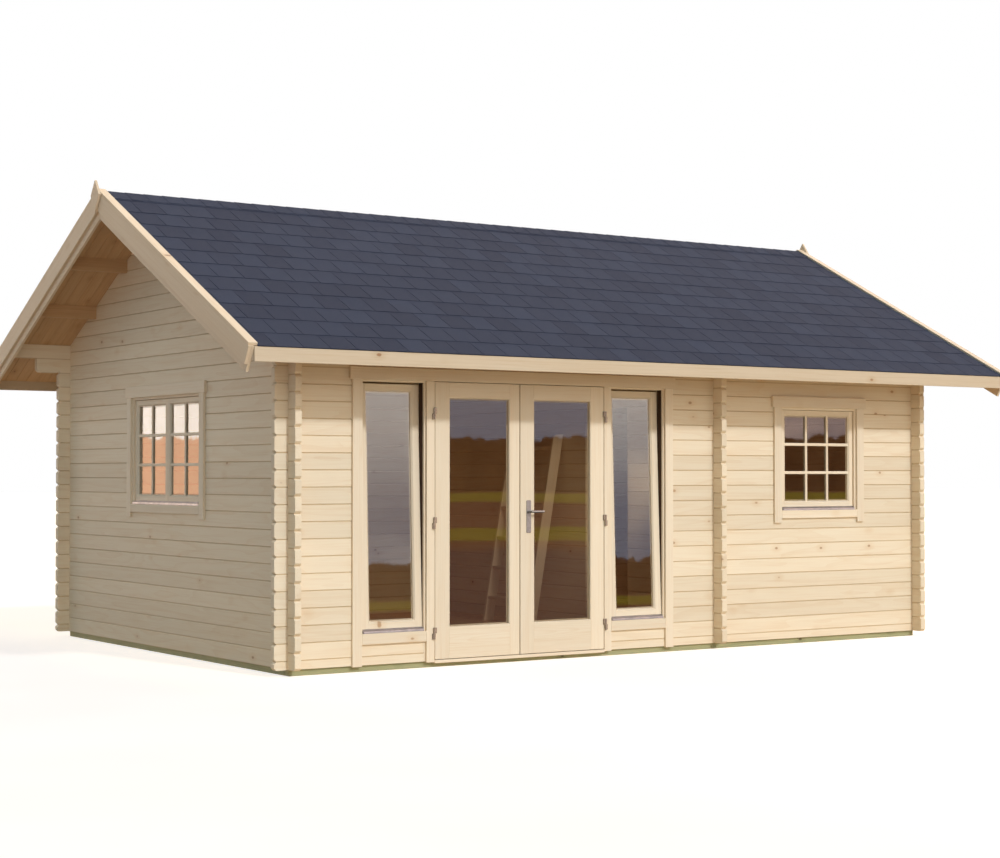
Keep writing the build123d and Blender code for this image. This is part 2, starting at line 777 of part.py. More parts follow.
# ---- small windows: drawn in the front wall, the gable one turned round afterwards ----
def small_frame(x_middle, width, low):
    # frame round the opening, its lower board behind the apron
    half = width / 2 - sash_inset
    outer = half + frame_board - seat
    high = low + window_height
    rough_z = (low - window_apron + seat, high + frame_board - seat)
    box(x_middle - outer, x_middle + outer, front_face, frame_rear, *rough_z)
    box(x_middle - half, x_middle + half, front_face, frame_rear, low, high - sash_inset, Mode.SUBTRACT)


def small_casing(x_middle, width, low):
    half = width / 2
    outer = half + casing_width
    ear = outer + head_ear
    apron = half - board_gap
    high = low + window_height
    foot = low - window_apron - window_foot
    for side in (-1, 1):
        side_board = sorted((x_middle + side * half, x_middle + side * outer))
        box(*side_board, casing_face, front_face, foot, high - board_gap)
    box(x_middle - apron, x_middle + apron, casing_face, front_face, low - window_apron, low)
    box(x_middle - ear, x_middle + ear, front_face - head_board, front_face, high, high + head_height)


def drip_rail(x_low, x_high, low):
    # sloping metal rail in front of a sash, with a nose over the apron
    nose = front_face - drip_nose
    back = sash_face - seat
    with BuildSketch(across_x(x_low, 0)) as outline:
        with BuildLine():
            Polyline(
                (nose, low + seat),
                (back, low + seat),
                (back, low + drip_height),
                (nose, low + drip_height / 2),
                close=True,
            )
        make_face()
    extrude(outline.sketch, amount=x_high - x_low)


def on_gable(builder):
    turned = builder.part.rotate(Axis.Z, -90)
    return turned.moved(Location((half_width - half_length, 0, 0)))


def small_sash_z(low):
    return (low + rebate, low + window_height - sash_inset - rebate)


front_half = front_window_width / 2 - sash_inset - rebate
front_x = (front_window_offset - front_half, front_window_offset + front_half)
gable_half = gable_window_width / 2 - sash_inset - rebate
gable_places = ((-gable_half, -rebate / 2), (rebate / 2, gable_half))
with BuildPart() as gable_frame:
    small_frame(0, gable_window_width, gable_window_low)
with BuildPart() as gable_casing:
    small_casing(0, gable_window_width, gable_window_low)
with BuildPart() as gable_sashes:
    for place in gable_places:
        sash(place, small_sash_z(gable_window_low), sash_stile, sash_rail, sash_stile)
with BuildPart() as gable_panes:
    for place in gable_places:
        sash_pane(place, small_sash_z(gable_window_low), sash_stile, sash_rail, sash_stile)
with BuildPart() as gable_drip:
    drip_rail(-gable_half, gable_half, gable_window_low)

with BuildPart() as window_frames:
    small_frame(front_window_offset, front_window_width, front_window_low)
    add(on_gable(gable_frame))
save(window_frames, "window_frames")

with BuildPart() as window_casings:
    small_casing(front_window_offset, front_window_width, front_window_low)
    add(on_gable(gable_casing))
save(window_casings, "window_casings")

with BuildPart() as window_sashes:
    sash(front_x, small_sash_z(front_window_low), sash_stile, sash_rail, sash_stile)
    add(on_gable(gable_sashes))
save(window_sashes, "window_sashes")

with BuildPart() as window_glass:
    add(upright_panes.part.rotate(lean, -tilt))
    sash_pane(front_x, small_sash_z(front_window_low), sash_stile, sash_rail, sash_stile)
    add(on_gable(gable_panes))
save(window_glass, "window_glass")

with BuildPart() as drip_rails:
    for place in side_places:
        drip_rail(*place, apron_high)
    drip_rail(*front_x, front_window_low)
    add(on_gable(gable_drip))
save(drip_rails, "drip_rails")

# ---- ladder that leans on the partition ----
rail_foot = floor_top + seat
rail_top_x = partition_face - seat
lean_slope = ladder_run / (ladder_top - rail_foot)
rail_across = rail_depth * hypot(1, lean_slope)
ladder_low = ladder_middle - ladder_width / 2
ladder_high = ladder_middle + ladder_width / 2
tread_y = (ladder_low + rail_thickness + seat, ladder_high - rail_thickness - seat)


def rail_edge(z):
    # edge of the rails towards the partition, at a height
    return rail_top_x - (ladder_top - z) * lean_slope


with BuildPart() as ladder:
    for y_rail in (ladder_low + rail_thickness, ladder_high):
        with BuildSketch(Plane.XZ.offset(-y_rail)):
            with BuildLine():
                Polyline(
                    (rail_edge(rail_foot), rail_foot),
                    (rail_top_x, ladder_top),
                    (rail_top_x - rail_across, ladder_top),
                    (rail_edge(rail_foot) - rail_across, rail_foot),
                    close=True,
                )
            make_face()
        extrude(amount=rail_thickness)
    top_edges = ladder.edges().filter_by(Axis.Y).group_by(Axis.Z)[-1]
    fillet(top_edges.group_by(Axis.X)[0], rail_depth / 2)
    for n in range(tread_count):
        tread_z = floor_top + first_tread + n * tread_step
        tread_middle = rail_edge(tread_z - rail_thickness / 2) - rail_across / 2
        tread_x = (tread_middle - tread_depth / 2, tread_middle + tread_depth / 2)
        box(*tread_x, *tread_y, tread_z - rail_thickness, tread_z)
save(ladder, "ladder")
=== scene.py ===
import math
import random

import bmesh
import bpy
from mathutils import Matrix, Vector


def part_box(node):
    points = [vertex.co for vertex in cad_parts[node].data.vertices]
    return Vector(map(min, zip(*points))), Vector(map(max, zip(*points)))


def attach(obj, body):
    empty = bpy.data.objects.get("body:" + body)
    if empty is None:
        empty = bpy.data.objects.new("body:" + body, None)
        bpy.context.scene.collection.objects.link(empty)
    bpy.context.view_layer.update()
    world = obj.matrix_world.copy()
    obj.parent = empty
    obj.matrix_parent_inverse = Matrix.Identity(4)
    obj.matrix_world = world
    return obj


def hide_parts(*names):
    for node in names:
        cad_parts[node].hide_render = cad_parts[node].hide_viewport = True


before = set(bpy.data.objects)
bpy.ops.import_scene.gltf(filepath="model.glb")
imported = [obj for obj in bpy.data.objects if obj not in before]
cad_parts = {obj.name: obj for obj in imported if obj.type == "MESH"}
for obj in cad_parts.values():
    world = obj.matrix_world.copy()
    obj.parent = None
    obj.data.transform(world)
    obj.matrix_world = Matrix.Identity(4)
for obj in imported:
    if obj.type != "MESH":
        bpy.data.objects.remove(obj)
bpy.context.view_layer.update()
print("frame loaded:", len(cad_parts), "nodes")

# sizes read from the frame
wallHeightStep = 0.12  # one course of logs
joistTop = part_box("foundation_beams")[1].z
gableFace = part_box("left_gable_wall")[0].x
upright = Matrix.Identity(3)


def slopeOf(node):
    # angle between a node's largest face and the horizontal
    largest = max(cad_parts[node].data.polygons, key=lambda f: f.area)
    return math.acos(abs(largest.normal.z))


def mergedCopy(node):
    # the triangles of a node are loose, so the corners of the copy are joined
    bm = bmesh.new()
    bm.from_mesh(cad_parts[node].data)
    bmesh.ops.remove_doubles(bm, verts=bm.verts, dist=1e-6)
    return bm


def islandsOf(bm):
    # the separate bodies of a mesh, each a list of its corners
    islands, seen = [], set()
    for start in bm.verts:
        if start in seen:
            continue
        seen.add(start)
        waiting, island = [start], []
        while waiting:
            v = waiting.pop()
            island.append(v)
            for e in v.link_edges:
                other = e.other_vert(v)
                if other not in seen:
                    seen.add(other)
                    waiting.append(other)
        islands.append(island)
    return islands


def looseSolids(node, back=upright):
    # the separate solids of a node, each as a box (low, high) measured after the turn, from left to right
    bm = mergedCopy(node)
    boxes = []
    for island in islandsOf(bm):
        places = [back @ v.co for v in island]
        low = Vector([min(p[i] for p in places) for i in range(3)])
        high = Vector([max(p[i] for p in places) for i in range(3)])
        boxes.append((low, high))
    bm.free()
    return sorted(boxes, key=lambda b: (round(b[0].x, 3), round(b[0].y, 3), b[0].z))


# helpers for node trees
def addNode(tree, kind, **settings):
    node = tree.nodes.new(kind)
    for key, value in settings.items():
        setattr(node, key, value)
    return node


def plug(tree, socket, value):
    # a socket gets a link or a plain value
    if isinstance(value, bpy.types.NodeSocket):
        tree.links.new(value, socket)
    elif value is not None:
        socket.default_value = value


def feed(tree, node, **values):
    for label, value in values.items():
        plug(tree, node.inputs[label], value)
    return node


def maths(tree, operation, a, b=None, clamp=False):
    node = addNode(tree, "ShaderNodeMath", operation=operation, use_clamp=clamp)
    for i, value in enumerate((a, b)):
        plug(tree, node.inputs[i], value)
    return node.outputs[0]


def plus(tree, a, b, clamp=False):
    return maths(tree, "ADD", a, b, clamp)


def minus(tree, a, b):
    return maths(tree, "SUBTRACT", a, b)


def times(tree, a, b):
    return maths(tree, "MULTIPLY", a, b)


def vectorMaths(tree, operation, a, b=None):
    node = addNode(tree, "ShaderNodeVectorMath", operation=operation)
    plug(tree, node.inputs[0], a)
    plug(tree, node.inputs[1], b)
    return node.outputs["Value"] if operation in ("LENGTH", "DOT_PRODUCT") else node.outputs[0]


def scaled(tree, vector, factors):
    return vectorMaths(tree, "MULTIPLY", vector, factors)


def combined(tree, x, y, z=None):
    return feed(tree, addNode(tree, "ShaderNodeCombineXYZ"), X=x, Y=y, Z=z).outputs[0]


def separated(tree, vector):
    return feed(tree, addNode(tree, "ShaderNodeSeparateXYZ"), Vector=vector).outputs


def objectPlace(tree):
    return addNode(tree, "ShaderNodeTexCoord").outputs["Object"]


def mixColour(tree, factor, a, b, blend="MIX"):
    node = addNode(tree, "ShaderNodeMix", data_type="RGBA", blend_type=blend)
    for i, value in ((0, factor), (6, a), (7, b)):  # the sockets for colours
        plug(tree, node.inputs[i], value)
    return node.outputs[2]


def noiseAt(tree, vector, scale, detail, roughness=0.5):
    node = addNode(tree, "ShaderNodeTexNoise", noise_dimensions="3D")
    feed(tree, node, Vector=vector, Scale=scale, Detail=detail, Roughness=roughness)
    return node.outputs["Fac"]


def ramp(tree, value, low, high, outLow=0.0, outHigh=1.0, smooth=True):
    node = addNode(tree, "ShaderNodeMapRange", interpolation_type="SMOOTHSTEP" if smooth else "LINEAR")
    for i, v in enumerate((value, low, high, outLow, outHigh)):
        plug(tree, node.inputs[i], v)
    return node.outputs[0]


def newGroup(name, inputs, outputs):
    group = bpy.data.node_groups.new(name, "ShaderNodeTree")
    for label, kind, default in inputs:
        socket = group.interface.new_socket(label, in_out="INPUT", socket_type=kind)
        if default is not None:
            socket.default_value = default
    for label, kind in outputs:
        group.interface.new_socket(label, in_out="OUTPUT", socket_type=kind)
    return group, group.nodes.new("NodeGroupInput"), group.nodes.new("NodeGroupOutput")


def newMaterial(name):
    material = bpy.data.materials.new(name)
    material.use_nodes = True
    tree = material.node_tree
    return material, tree, tree.nodes["Principled BSDF"]


def bumpFrom(tree, shader, height, strength, distance):
    bump = addNode(tree, "ShaderNodeBump")
    feed(tree, bump, Height=height, Strength=strength, Distance=distance)
    tree.links.new(bump.outputs["Normal"], shader.inputs["Normal"])


# planed pine; lengths in metres, first along the grain and then across it
pineGrain = {
    "ringsPerMetre": 150.0, "ringWander": 0.055, "pithLow": -0.09, "pithHigh": 0.07, "pithSway": 0.05,
    "knotSpacing": (0.52, 0.125, 0.125), "knotReach": (0.021, 0.0125, 0.03), "relief": 0.0012, "gloss": 0.2,
}


def buildPineGroup():
    # rings round a pith line that runs along the grain, fibres and knots
    group, source, sink = newGroup(
        "planedPine",
        [
            ("Grain", "NodeSocketVector", None),
            ("Tone", "NodeSocketFloat", 0.5),
            ("Early", "NodeSocketColor", (0.8, 0.6, 0.36, 1)),
            ("Late", "NodeSocketColor", (0.62, 0.38, 0.17, 1)),
            ("Knot", "NodeSocketColor", (0.2, 0.09, 0.035, 1)),
            ("Knots", "NodeSocketFloat", 0.5),
            ("Contrast", "NodeSocketFloat", 1.0),
        ],
        [("Color", "NodeSocketColor"), ("Roughness", "NodeSocketFloat"), ("Height", "NodeSocketFloat")],
    )
    given = source.outputs
    tone = given["Tone"]
    # every board is cut from another stretch of the pattern
    shift = combined(group, *[times(group, tone, step) for step in (61.0, 7.3, 3.1)])
    place = vectorMaths(group, "ADD", given["Grain"], shift)

    def noiseAlong(factors, detail, roughness=0.5):
        return noiseAt(group, scaled(group, place, factors), 1.0, detail, roughness)

    # growth rings seen on a sawn face
    across = scaled(group, given["Grain"], (0.0, 1.0, 1.0))
    pithY = ramp(group, tone, 0.0, 1.0, pineGrain["pithLow"], pineGrain["pithHigh"], False)
    pithZ = times(group, maths(group, "SINE", times(group, tone, 40.0)), pineGrain["pithSway"])
    fromPith = vectorMaths(group, "ADD", across, combined(group, None, pithY, pithZ))
    radius = vectorMaths(group, "LENGTH", fromPith)
    radius = plus(group, radius, times(group, noiseAlong((0.55, 5.0, 5.0), 2.0), pineGrain["ringWander"]))
    ring = maths(group, "FRACT", times(group, radius, pineGrain["ringsPerMetre"]))
    ringLine = ramp(group, ring, 0.45, 1.0)
    broad = noiseAlong((0.9, 16.0, 16.0), 3.0)
    streak = noiseAlong((1.8, 75.0, 75.0), 3.0, 0.6)
    fibre = noiseAlong((14.0, 420.0, 420.0), 2.0)

    # knots: flattened ellipsoids round scattered points, each in a soft darker halo
    spacing = Vector(pineGrain["knotSpacing"])
    unit = scaled(group, place, [1 / s for s in spacing])
    spots = addNode(group, "ShaderNodeTexVoronoi", feature="F1", voronoi_dimensions="3D")
    feed(group, spots, Vector=unit, Scale=1.0)
    away = vectorMaths(group, "SUBTRACT", unit, spots.outputs["Position"])
    away = scaled(group, away, [s / r for s, r in zip(spacing, pineGrain["knotReach"])])
    ragged = times(group, noiseAlong((60.0, 60.0, 60.0), 2.0), 0.35)
    reach = plus(group, vectorMaths(group, "LENGTH", away), ragged)
    chosen = feed(group, addNode(group, "ShaderNodeSeparateColor"), Color=spots.outputs["Color"])
    there = maths(group, "LESS_THAN", chosen.outputs[0], given["Knots"])
    knot = times(group, ramp(group, reach, 1.3, 0.8), there)
    halo = times(group, ramp(group, reach, 4.2, 0.9), there)

    tint = times(group, ringLine, 0.3)
    layers = ((broad, 0.3, 0.75, 0.3), (streak, 0.48, 0.75, 0.45), (fibre, 0.25, 0.8, 0.22))
    for mask, low, high, most in layers:
        tint = plus(group, tint, ramp(group, mask, low, high, 0.0, most, False))
    tint = times(group, tint, given["Contrast"])
    tint = plus(group, tint, times(group, halo, 0.42), clamp=True)
    toned = vectorMaths(group, "SCALE", mixColour(group, tint, given["Early"], given["Late"]))
    shade = ramp(group, maths(group, "FRACT", times(group, tone, 13.7)), 0.0, 1.0, 0.92, 1.04, False)
    plug(group, toned.node.inputs["Scale"], shade)
    rough = minus(group, ramp(group, fibre, 0.2, 0.8, 0.5, 0.64, False), times(group, knot, 0.15))
    height = plus(group, times(group, ringLine, 0.5), times(group, fibre, 0.5))
    feed(group, sink, Color=mixColour(group, knot, toned, given["Knot"]), Roughness=rough, Height=height)
    return group


planedPine = buildPineGroup()


def pineOn(tree, shader, grain, tone, look, bump=0.25):
    # places the pine in a material and gives back its colour
    pine = addNode(tree, "ShaderNodeGroup", node_tree=planedPine)
    feed(tree, pine, Grain=grain, Tone=tone, Early=look["early"], Late=look["late"], Knot=look["knot"],
         Knots=look["knots"], Contrast=look["contrast"])
    shader.inputs["Specular IOR Level"].default_value = pineGrain["gloss"]
    tree.links.new(pine.outputs["Roughness"], shader.inputs["Roughness"])
    bumpFrom(tree, shader, pine.outputs["Height"], bump, pineGrain["relief"])
    return pine.outputs["Color"]


logLook = {
    "early": (0.85, 0.735, 0.55, 1), "late": (0.76, 0.585, 0.385, 1), "knot": (0.52, 0.34, 0.2, 1),
    # painted shade: joint is the colour multiplied in at the log joints, jointShadeReach how far it reaches
    "knots": 0.22, "contrast": 0.8, "joint": (0.74, 0.66, 0.54, 1), "jointShadeReach": 0.0065,
    "wallsPerMetre": 1.6,
}


def buildLogMaterial(name, along, firstJoint):
    # stacked logs: every course has its own tone and its own stretch of the grain
    material, tree, shader = newMaterial(name)
    x, y, z = separated(tree, objectPlace(tree))
    length, depth = (x, y) if along == "X" else (y, x)
    level = maths(tree, "DIVIDE", minus(tree, z, firstJoint), wallHeightStep)
    whichWall = maths(tree, "FLOOR", times(tree, depth, logLook["wallsPerMetre"]))
    pick = addNode(tree, "ShaderNodeTexWhiteNoise", noise_dimensions="2D")
    feed(tree, pick, Vector=combined(tree, maths(tree, "FLOOR", level), whichWall))
    within = times(tree, minus(tree, maths(tree, "FRACT", level), 0.5), wallHeightStep)
    colour = pineOn(tree, shader, combined(tree, length, within, depth), pick.outputs["Value"], logLook)
    # painted shade: the joint is a little darker, as the shade in the groove between the logs
    edge = minus(tree, wallHeightStep / 2, maths(tree, "ABSOLUTE", within))
    joint = ramp(tree, edge, logLook["jointShadeReach"], 0.0)
    colour = mixColour(tree, joint, colour, logLook["joint"], "MULTIPLY")
    tree.links.new(colour, shader.inputs["Base Color"])
    return material


def buildBoardMaterial(name, bump=0.25, **look):
    # boards carry their own grain direction and tone as attributes
    material, tree, shader = newMaterial(name)
    grain = addNode(tree, "ShaderNodeAttribute", attribute_name="woodCoord").outputs["Vector"]
    tone = addNode(tree, "ShaderNodeAttribute", attribute_name="boardTone").outputs["Fac"]
    tree.links.new(pineOn(tree, shader, grain, tone, look, bump), shader.inputs["Base Color"])
    return material


logsAlongX = buildLogMaterial("pineLogsAlongX", "X", joistTop + wallHeightStep / 2)
logsAlongY = buildLogMaterial("pineLogsAlongY", "Y", joistTop)
paleKnot = (0.36, 0.2, 0.1, 1)
darkKnot = (0.27, 0.125, 0.05, 1)
trimPine = buildBoardMaterial(
    "pineTrim", early=(0.77, 0.62, 0.44, 1), late=(0.66, 0.47, 0.28, 1), knot=paleKnot, knots=0.2,
    contrast=0.75,
)
joineryPine = buildBoardMaterial(
    "pineJoinery", early=(0.87, 0.755, 0.58, 1), late=(0.77, 0.59, 0.385, 1), knot=(0.5, 0.32, 0.18, 1),
    knots=0.05, contrast=0.85,
)
# painted shade: the pine made darker and more orange, for the shade and warm bounce under the roof
roofPaintedShadePine = buildBoardMaterial(
    "pineRoofBoardsPaintedShade", early=(0.64, 0.41, 0.22, 1), late=(0.46, 0.26, 0.115, 1), knot=darkKnot, knots=0.45,
    contrast=0.85,
)
floorPine = buildBoardMaterial(
    "pineFloor", early=(0.8, 0.58, 0.35, 1), late=(0.62, 0.38, 0.18, 1), knot=darkKnot, knots=0.4,
    contrast=0.85,
)
# painted shade: the trim pine made darker, for the fascia's face that gets less sun
fasciaPaintedShadePine = buildBoardMaterial(
    "pineFasciaPaintedShade", early=(0.64, 0.52, 0.37, 1), late=(0.53, 0.385, 0.235, 1), knot=paleKnot, knots=0.2,
    contrast=0.8,
)
# painted shade: near-black pine for the strips that stand in for the shade in the gaps round the tilted
# sashes
paintedGapShadePine = buildBoardMaterial(
    "paintedGapShadePine", early=(0.05, 0.022, 0.009, 1), late=(0.025, 0.011, 0.005, 1), knot=(0.02, 0.01, 0.005, 1),
    knots=0.0, contrast=1.0,
)
treatedPine = buildBoardMaterial(
    "treatedPine", early=(0.46, 0.44, 0.24, 1), late=(0.27, 0.28, 0.14, 1), knot=(0.14, 0.12, 0.06, 1),
    knots=0.4, contrast=1.0, bump=0.5,
)

shingleLook = {
    "dark": (0.029, 0.034, 0.054, 1), "light": (0.0415, 0.049, 0.075, 1), "cloud": (0.035, 0.039, 0.058, 1),
    "grit": (0.085, 0.09, 0.115, 1), "gritPerMetre": 900.0, "cloudsPerMetre": 3.5, "relief": 0.002,
}


def buildShingleMaterial():
    # mineral granules on felt, each tab with its own shade
    material, tree, shader = newMaterial("shingleGranules")
    place = objectPlace(tree)
    tone = addNode(tree, "ShaderNodeAttribute", attribute_name="boardTone").outputs["Fac"]
    grit = noiseAt(tree, place, shingleLook["gritPerMetre"], 2.0, 0.7)
    cloud = noiseAt(tree, place, shingleLook["cloudsPerMetre"], 3.0)
    base = mixColour(tree, tone, shingleLook["dark"], shingleLook["light"])
    base = mixColour(tree, ramp(tree, cloud, 0.35, 0.7, 0.0, 0.3), base, shingleLook["cloud"])
    base = mixColour(tree, ramp(tree, grit, 0.45, 0.8, 0.0, 0.5), base, shingleLook["grit"])
    tree.links.new(base, shader.inputs["Base Color"])
    feed(tree, shader, Roughness=ramp(tree, grit, 0.3, 0.8, 0.95, 0.75, False))
    shader.inputs["Specular IOR Level"].default_value = 0.05
    bumpFrom(tree, shader, grit, 0.6, shingleLook["relief"])
    return material


def buildMetalMaterial(name, colour, dark, roughness, scale):
    # brushed or galvanised sheet with soft blotches
    material, tree, shader = newMaterial(name)
    place = objectPlace(tree)
    blotch = noiseAt(tree, place, scale, 4.0, 0.6)
    streak = noiseAt(tree, scaled(tree, place, (12.0, 600.0, 600.0)), 1.0, 2.0)
    base = mixColour(tree, ramp(tree, blotch, 0.35, 0.7), colour, dark)
    tree.links.new(base, shader.inputs["Base Color"])
    dull = ramp(tree, blotch, 0.3, 0.7, roughness - 0.06, roughness + 0.1, False)
    feed(tree, shader, Roughness=plus(tree, dull, ramp(tree, streak, 0.3, 0.7, 0.0, 0.08, False)))
    shader.inputs["Metallic"].default_value = 1.0
    bumpFrom(tree, shader, streak, 0.1, 0.0005)
    return material


glassLook = {"tint": (0.93, 0.97, 0.96, 1), "ior": 1.5, "throughput": (0.66, 0.62, 0.56, 1), "haze": 0.02}


def buildGlassMaterial():
    # clear float glass; it lets light through, so the rooms behind it aren't black
    material, tree, shader = newMaterial("windowGlass")
    place = objectPlace(tree)
    shader.inputs["Base Color"].default_value = glassLook["tint"]
    shader.inputs["Metallic"].default_value = 0.0
    shader.inputs["IOR"].default_value = glassLook["ior"]
    shader.inputs["Transmission Weight"].default_value = 1.0
    haze = noiseAt(tree, place, 9.0, 3.0)
    feed(tree, shader, Roughness=ramp(tree, haze, 0.4, 0.8, 0.0, glassLook["haze"]))
    bumpFrom(tree, shader, noiseAt(tree, place, 1.6, 1.0), 0.05, 0.01)
    clear = addNode(tree, "ShaderNodeBsdfTransparent")
    clear.inputs["Color"].default_value = glassLook["throughput"]
    path = addNode(tree, "ShaderNodeLightPath")
    mix = addNode(tree, "ShaderNodeMixShader")
    shadowOrDiffuse = maths(tree, "MAXIMUM", path.outputs["Is Shadow Ray"], path.outputs["Is Diffuse Ray"])
    for i, value in enumerate((shadowOrDiffuse, shader.outputs[0], clear.outputs[0])):
        tree.links.new(value, mix.inputs[i])
    tree.links.new(mix.outputs[0], tree.nodes["Material Output"].inputs["Surface"])
    return material


shingleGranules = buildShingleMaterial()
greyMetal = buildMetalMaterial("greySheetMetal", (0.29, 0.28, 0.29, 1), (0.22, 0.215, 0.225, 1), 0.45, 14.0)
zincedSteel = buildMetalMaterial("zincedSteel", (0.25, 0.21, 0.165, 1), (0.17, 0.145, 0.115, 1), 0.45, 160.0)
satinSteel = buildMetalMaterial("satinSteel", (0.22, 0.222, 0.222, 1), (0.165, 0.166, 0.166, 1), 0.32, 60.0)
windowGlass = buildGlassMaterial()
print("materials ready")


# boards: bevelled blocks that know their grain
def wallPlace(facing):
    # from a wall's own directions (right, inwards, up) to the house's
    return Matrix(((0, 1, 0), (-1, 0, 0), (0, 0, 1))) if facing == "left" else upright


def bevelledBlock(low, high, edge):
    bm = bmesh.new()
    size = high - low
    place = Matrix.Translation((low + high) / 2) @ Matrix.Diagonal((*size, 1))
    bmesh.ops.create_cube(bm, size=1, matrix=place)
    reach = min(edge, min(size) * 0.45)
    bmesh.ops.bevel(bm, geom=bm.edges[:], offset=reach, segments=2, profile=0.6, affect="EDGES")
    return takeApart(bm)


def takeApart(bm):
    # corners and faces of a finished shape
    bm.verts.index_update()
    verts = [v.co.copy() for v in bm.verts]
    faces = [[v.index for v in f.verts] for f in bm.faces]
    bm.free()
    return verts, faces


def meshFrom(name, verts, faces, coords=None, tones=None):
    # a mesh with its grain directions and tones, where it has them
    mesh = bpy.data.meshes.new(name)
    mesh.from_pydata([tuple(v) for v in verts], [], faces)
    if coords:
        grain = mesh.attributes.new("woodCoord", "FLOAT_VECTOR", "POINT")
        grain.data.foreach_set("vector", [c for v in coords for c in v])
    if tones:
        shade = mesh.attributes.new("boardTone", "FLOAT", "POINT")
        shade.data.foreach_set("value", tones)
    return mesh


def linked(name, data):
    thing = bpy.data.objects.new(name, data)
    bpy.context.collection.objects.link(thing)
    return thing


def settle(piece, body, nodes=()):
    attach(piece, body)
    if nodes:
        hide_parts(*nodes)


class BoardStack:
    # collects boards and makes one mesh of them
    def __init__(self, name, seed):
        self.name = name
        self.dice = random.Random(seed)
        self.verts, self.faces, self.coords, self.tones = [], [], [], []

    def board(self, low, high, grain, edge, turn=upright):
        verts, faces = bevelledBlock(Vector(low), Vector(high), edge)
        self.shape(verts, faces, grain, turn)

    def shape(self, verts, faces, grain, turn=upright):
        # grain is the axis that the fibres follow: 0 for X, 1 for Y, 2 for Z
        first = len(self.verts)
        tone = self.dice.random()
        along, across, deep = ((0, 1, 2), (1, 0, 2), (2, 0, 1))[grain]
        centre = sum(verts, Vector()) / len(verts)
        for v in verts:
            away = v - centre
            self.coords.append((v[along], away[across], away[deep]))
            self.verts.append(turn @ v)
            self.tones.append(tone)
        self.faces += [[first + i for i in f] for f in faces]

    def build(self, material, body, slot, *nodes):
        mesh = meshFrom(self.name, self.verts, self.faces, self.coords, self.tones)
        mesh.materials.append(material)
        settle(linked(self.name, mesh), body, nodes)


def dressSolid(name, node, material, edge, seed, grain=None):
    # bevelled copy of a node; the grain follows each solid's longest edge
    dice = random.Random(seed)
    bm = mergedCopy(node)
    bmesh.ops.dissolve_limit(bm, angle_limit=0.01, verts=bm.verts, edges=bm.edges)
    sharp = [e for e in bm.edges if len(e.link_faces) == 2 and e.calc_face_angle(0) > 0.5]
    bmesh.ops.bevel(bm, geom=sharp, offset=edge, segments=2, profile=0.6, affect="EDGES", clamp_overlap=True)
    bm.verts.index_update()
    coords = [None] * len(bm.verts)
    tones = [0.0] * len(bm.verts)
    for island in islandsOf(bm):
        # of equally long edges, the one that points most to the positive side, the same in each run
        longest = max((e for v in island for e in v.link_edges),
                      key=lambda e: (e.calc_length(), sum(e.verts[1].co - e.verts[0].co)))
        axis = grain or (longest.verts[1].co - longest.verts[0].co).normalized()
        side = axis.cross(Vector((0, 0, 1)) if abs(axis.z) < 0.7 else Vector((1, 0, 0))).normalized()
        depth = axis.cross(side)
        centre = sum((v.co for v in island), Vector()) / len(island)
        tone = dice.random()
        for v in island:
            away = v.co - centre
            coords[v.index] = (v.co.dot(axis), away.dot(depth), away.dot(side))
            tones[v.index] = tone
    mesh = meshFrom(name, *takeApart(bm), coords, tones)
    mesh.materials.append(material)
    settle(linked(name, mesh), "house", (node,))


def wearNode(material, *nodes):
    # nodes that keep their own mesh get their finish
    for node in nodes:
        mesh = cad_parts[node].data
        mesh.materials.clear()
        mesh.materials.append(material)


wearNode(logsAlongX, "front_wall_left", "front_wall_right", "front_wall_under_windows", "front_wall_top",
         "rear_wall", "rear_wall_top")
wearNode(logsAlongY, "left_gable_wall", "right_gable_wall", "partition_front", "partition_rear",
         "partition_over")
wearNode(windowGlass, "door_glass_left", "door_glass_right", "window_glass")
wearNode(zincedSteel, "door_hinge_pins", "door_hinges_left", "door_hinges_right")
wearNode(satinSteel, "handle_plates", "handle_lever")
print("log walls, panes and fittings dressed")

# carpentry that follows the frame's solids: node, finish, slot and width of the bevel
carpentry = {
    "foundation": ("foundation_beams", treatedPine, "treated_pine", 0.004),
    "roofPurlins": ("purlins", roofPaintedShadePine, "roof_pine", 0.003),
    "fasciaBoards": ("fascia_boards", fasciaPaintedShadePine, "pine_boards", 0.003),
    "bargeboardsLeft": ("left_bargeboards", trimPine, "pine_boards", 0.003),
    "bargeboardsRight": ("right_bargeboards", trimPine, "pine_boards", 0.003),
    "innerBargeboardsLeft": ("left_inner_bargeboards", trimPine, "pine_boards", 0.003),
    "innerBargeboardsRight": ("right_inner_bargeboards", trimPine, "pine_boards", 0.003),
    "vergeCapStrips": ("verge_caps", trimPine, "pine_boards", 0.003),
    "entranceCasing": ("entrance_casing", joineryPine, "pine_boards", 0.003),
    "windowCasings": ("window_casings", joineryPine, "pine_boards", 0.003),
    "loftLadder": ("ladder", joineryPine, "pine_boards", 0.003),
    "dripRails": ("drip_rails", greyMetal, "grey_metal", 0.0015),
    "doorSill": ("door_threshold", joineryPine, "pine_boards", 0.003),
}
for seed, (name, (node, material, slotName, edge)) in enumerate(carpentry.items()):
    dressSolid(name, node, material, edge, seed)
dressSolid("kiteFinials", "finials", trimPine, 0.002, 90, Vector((0, 0, 1)))
print("boards and beams dressed")


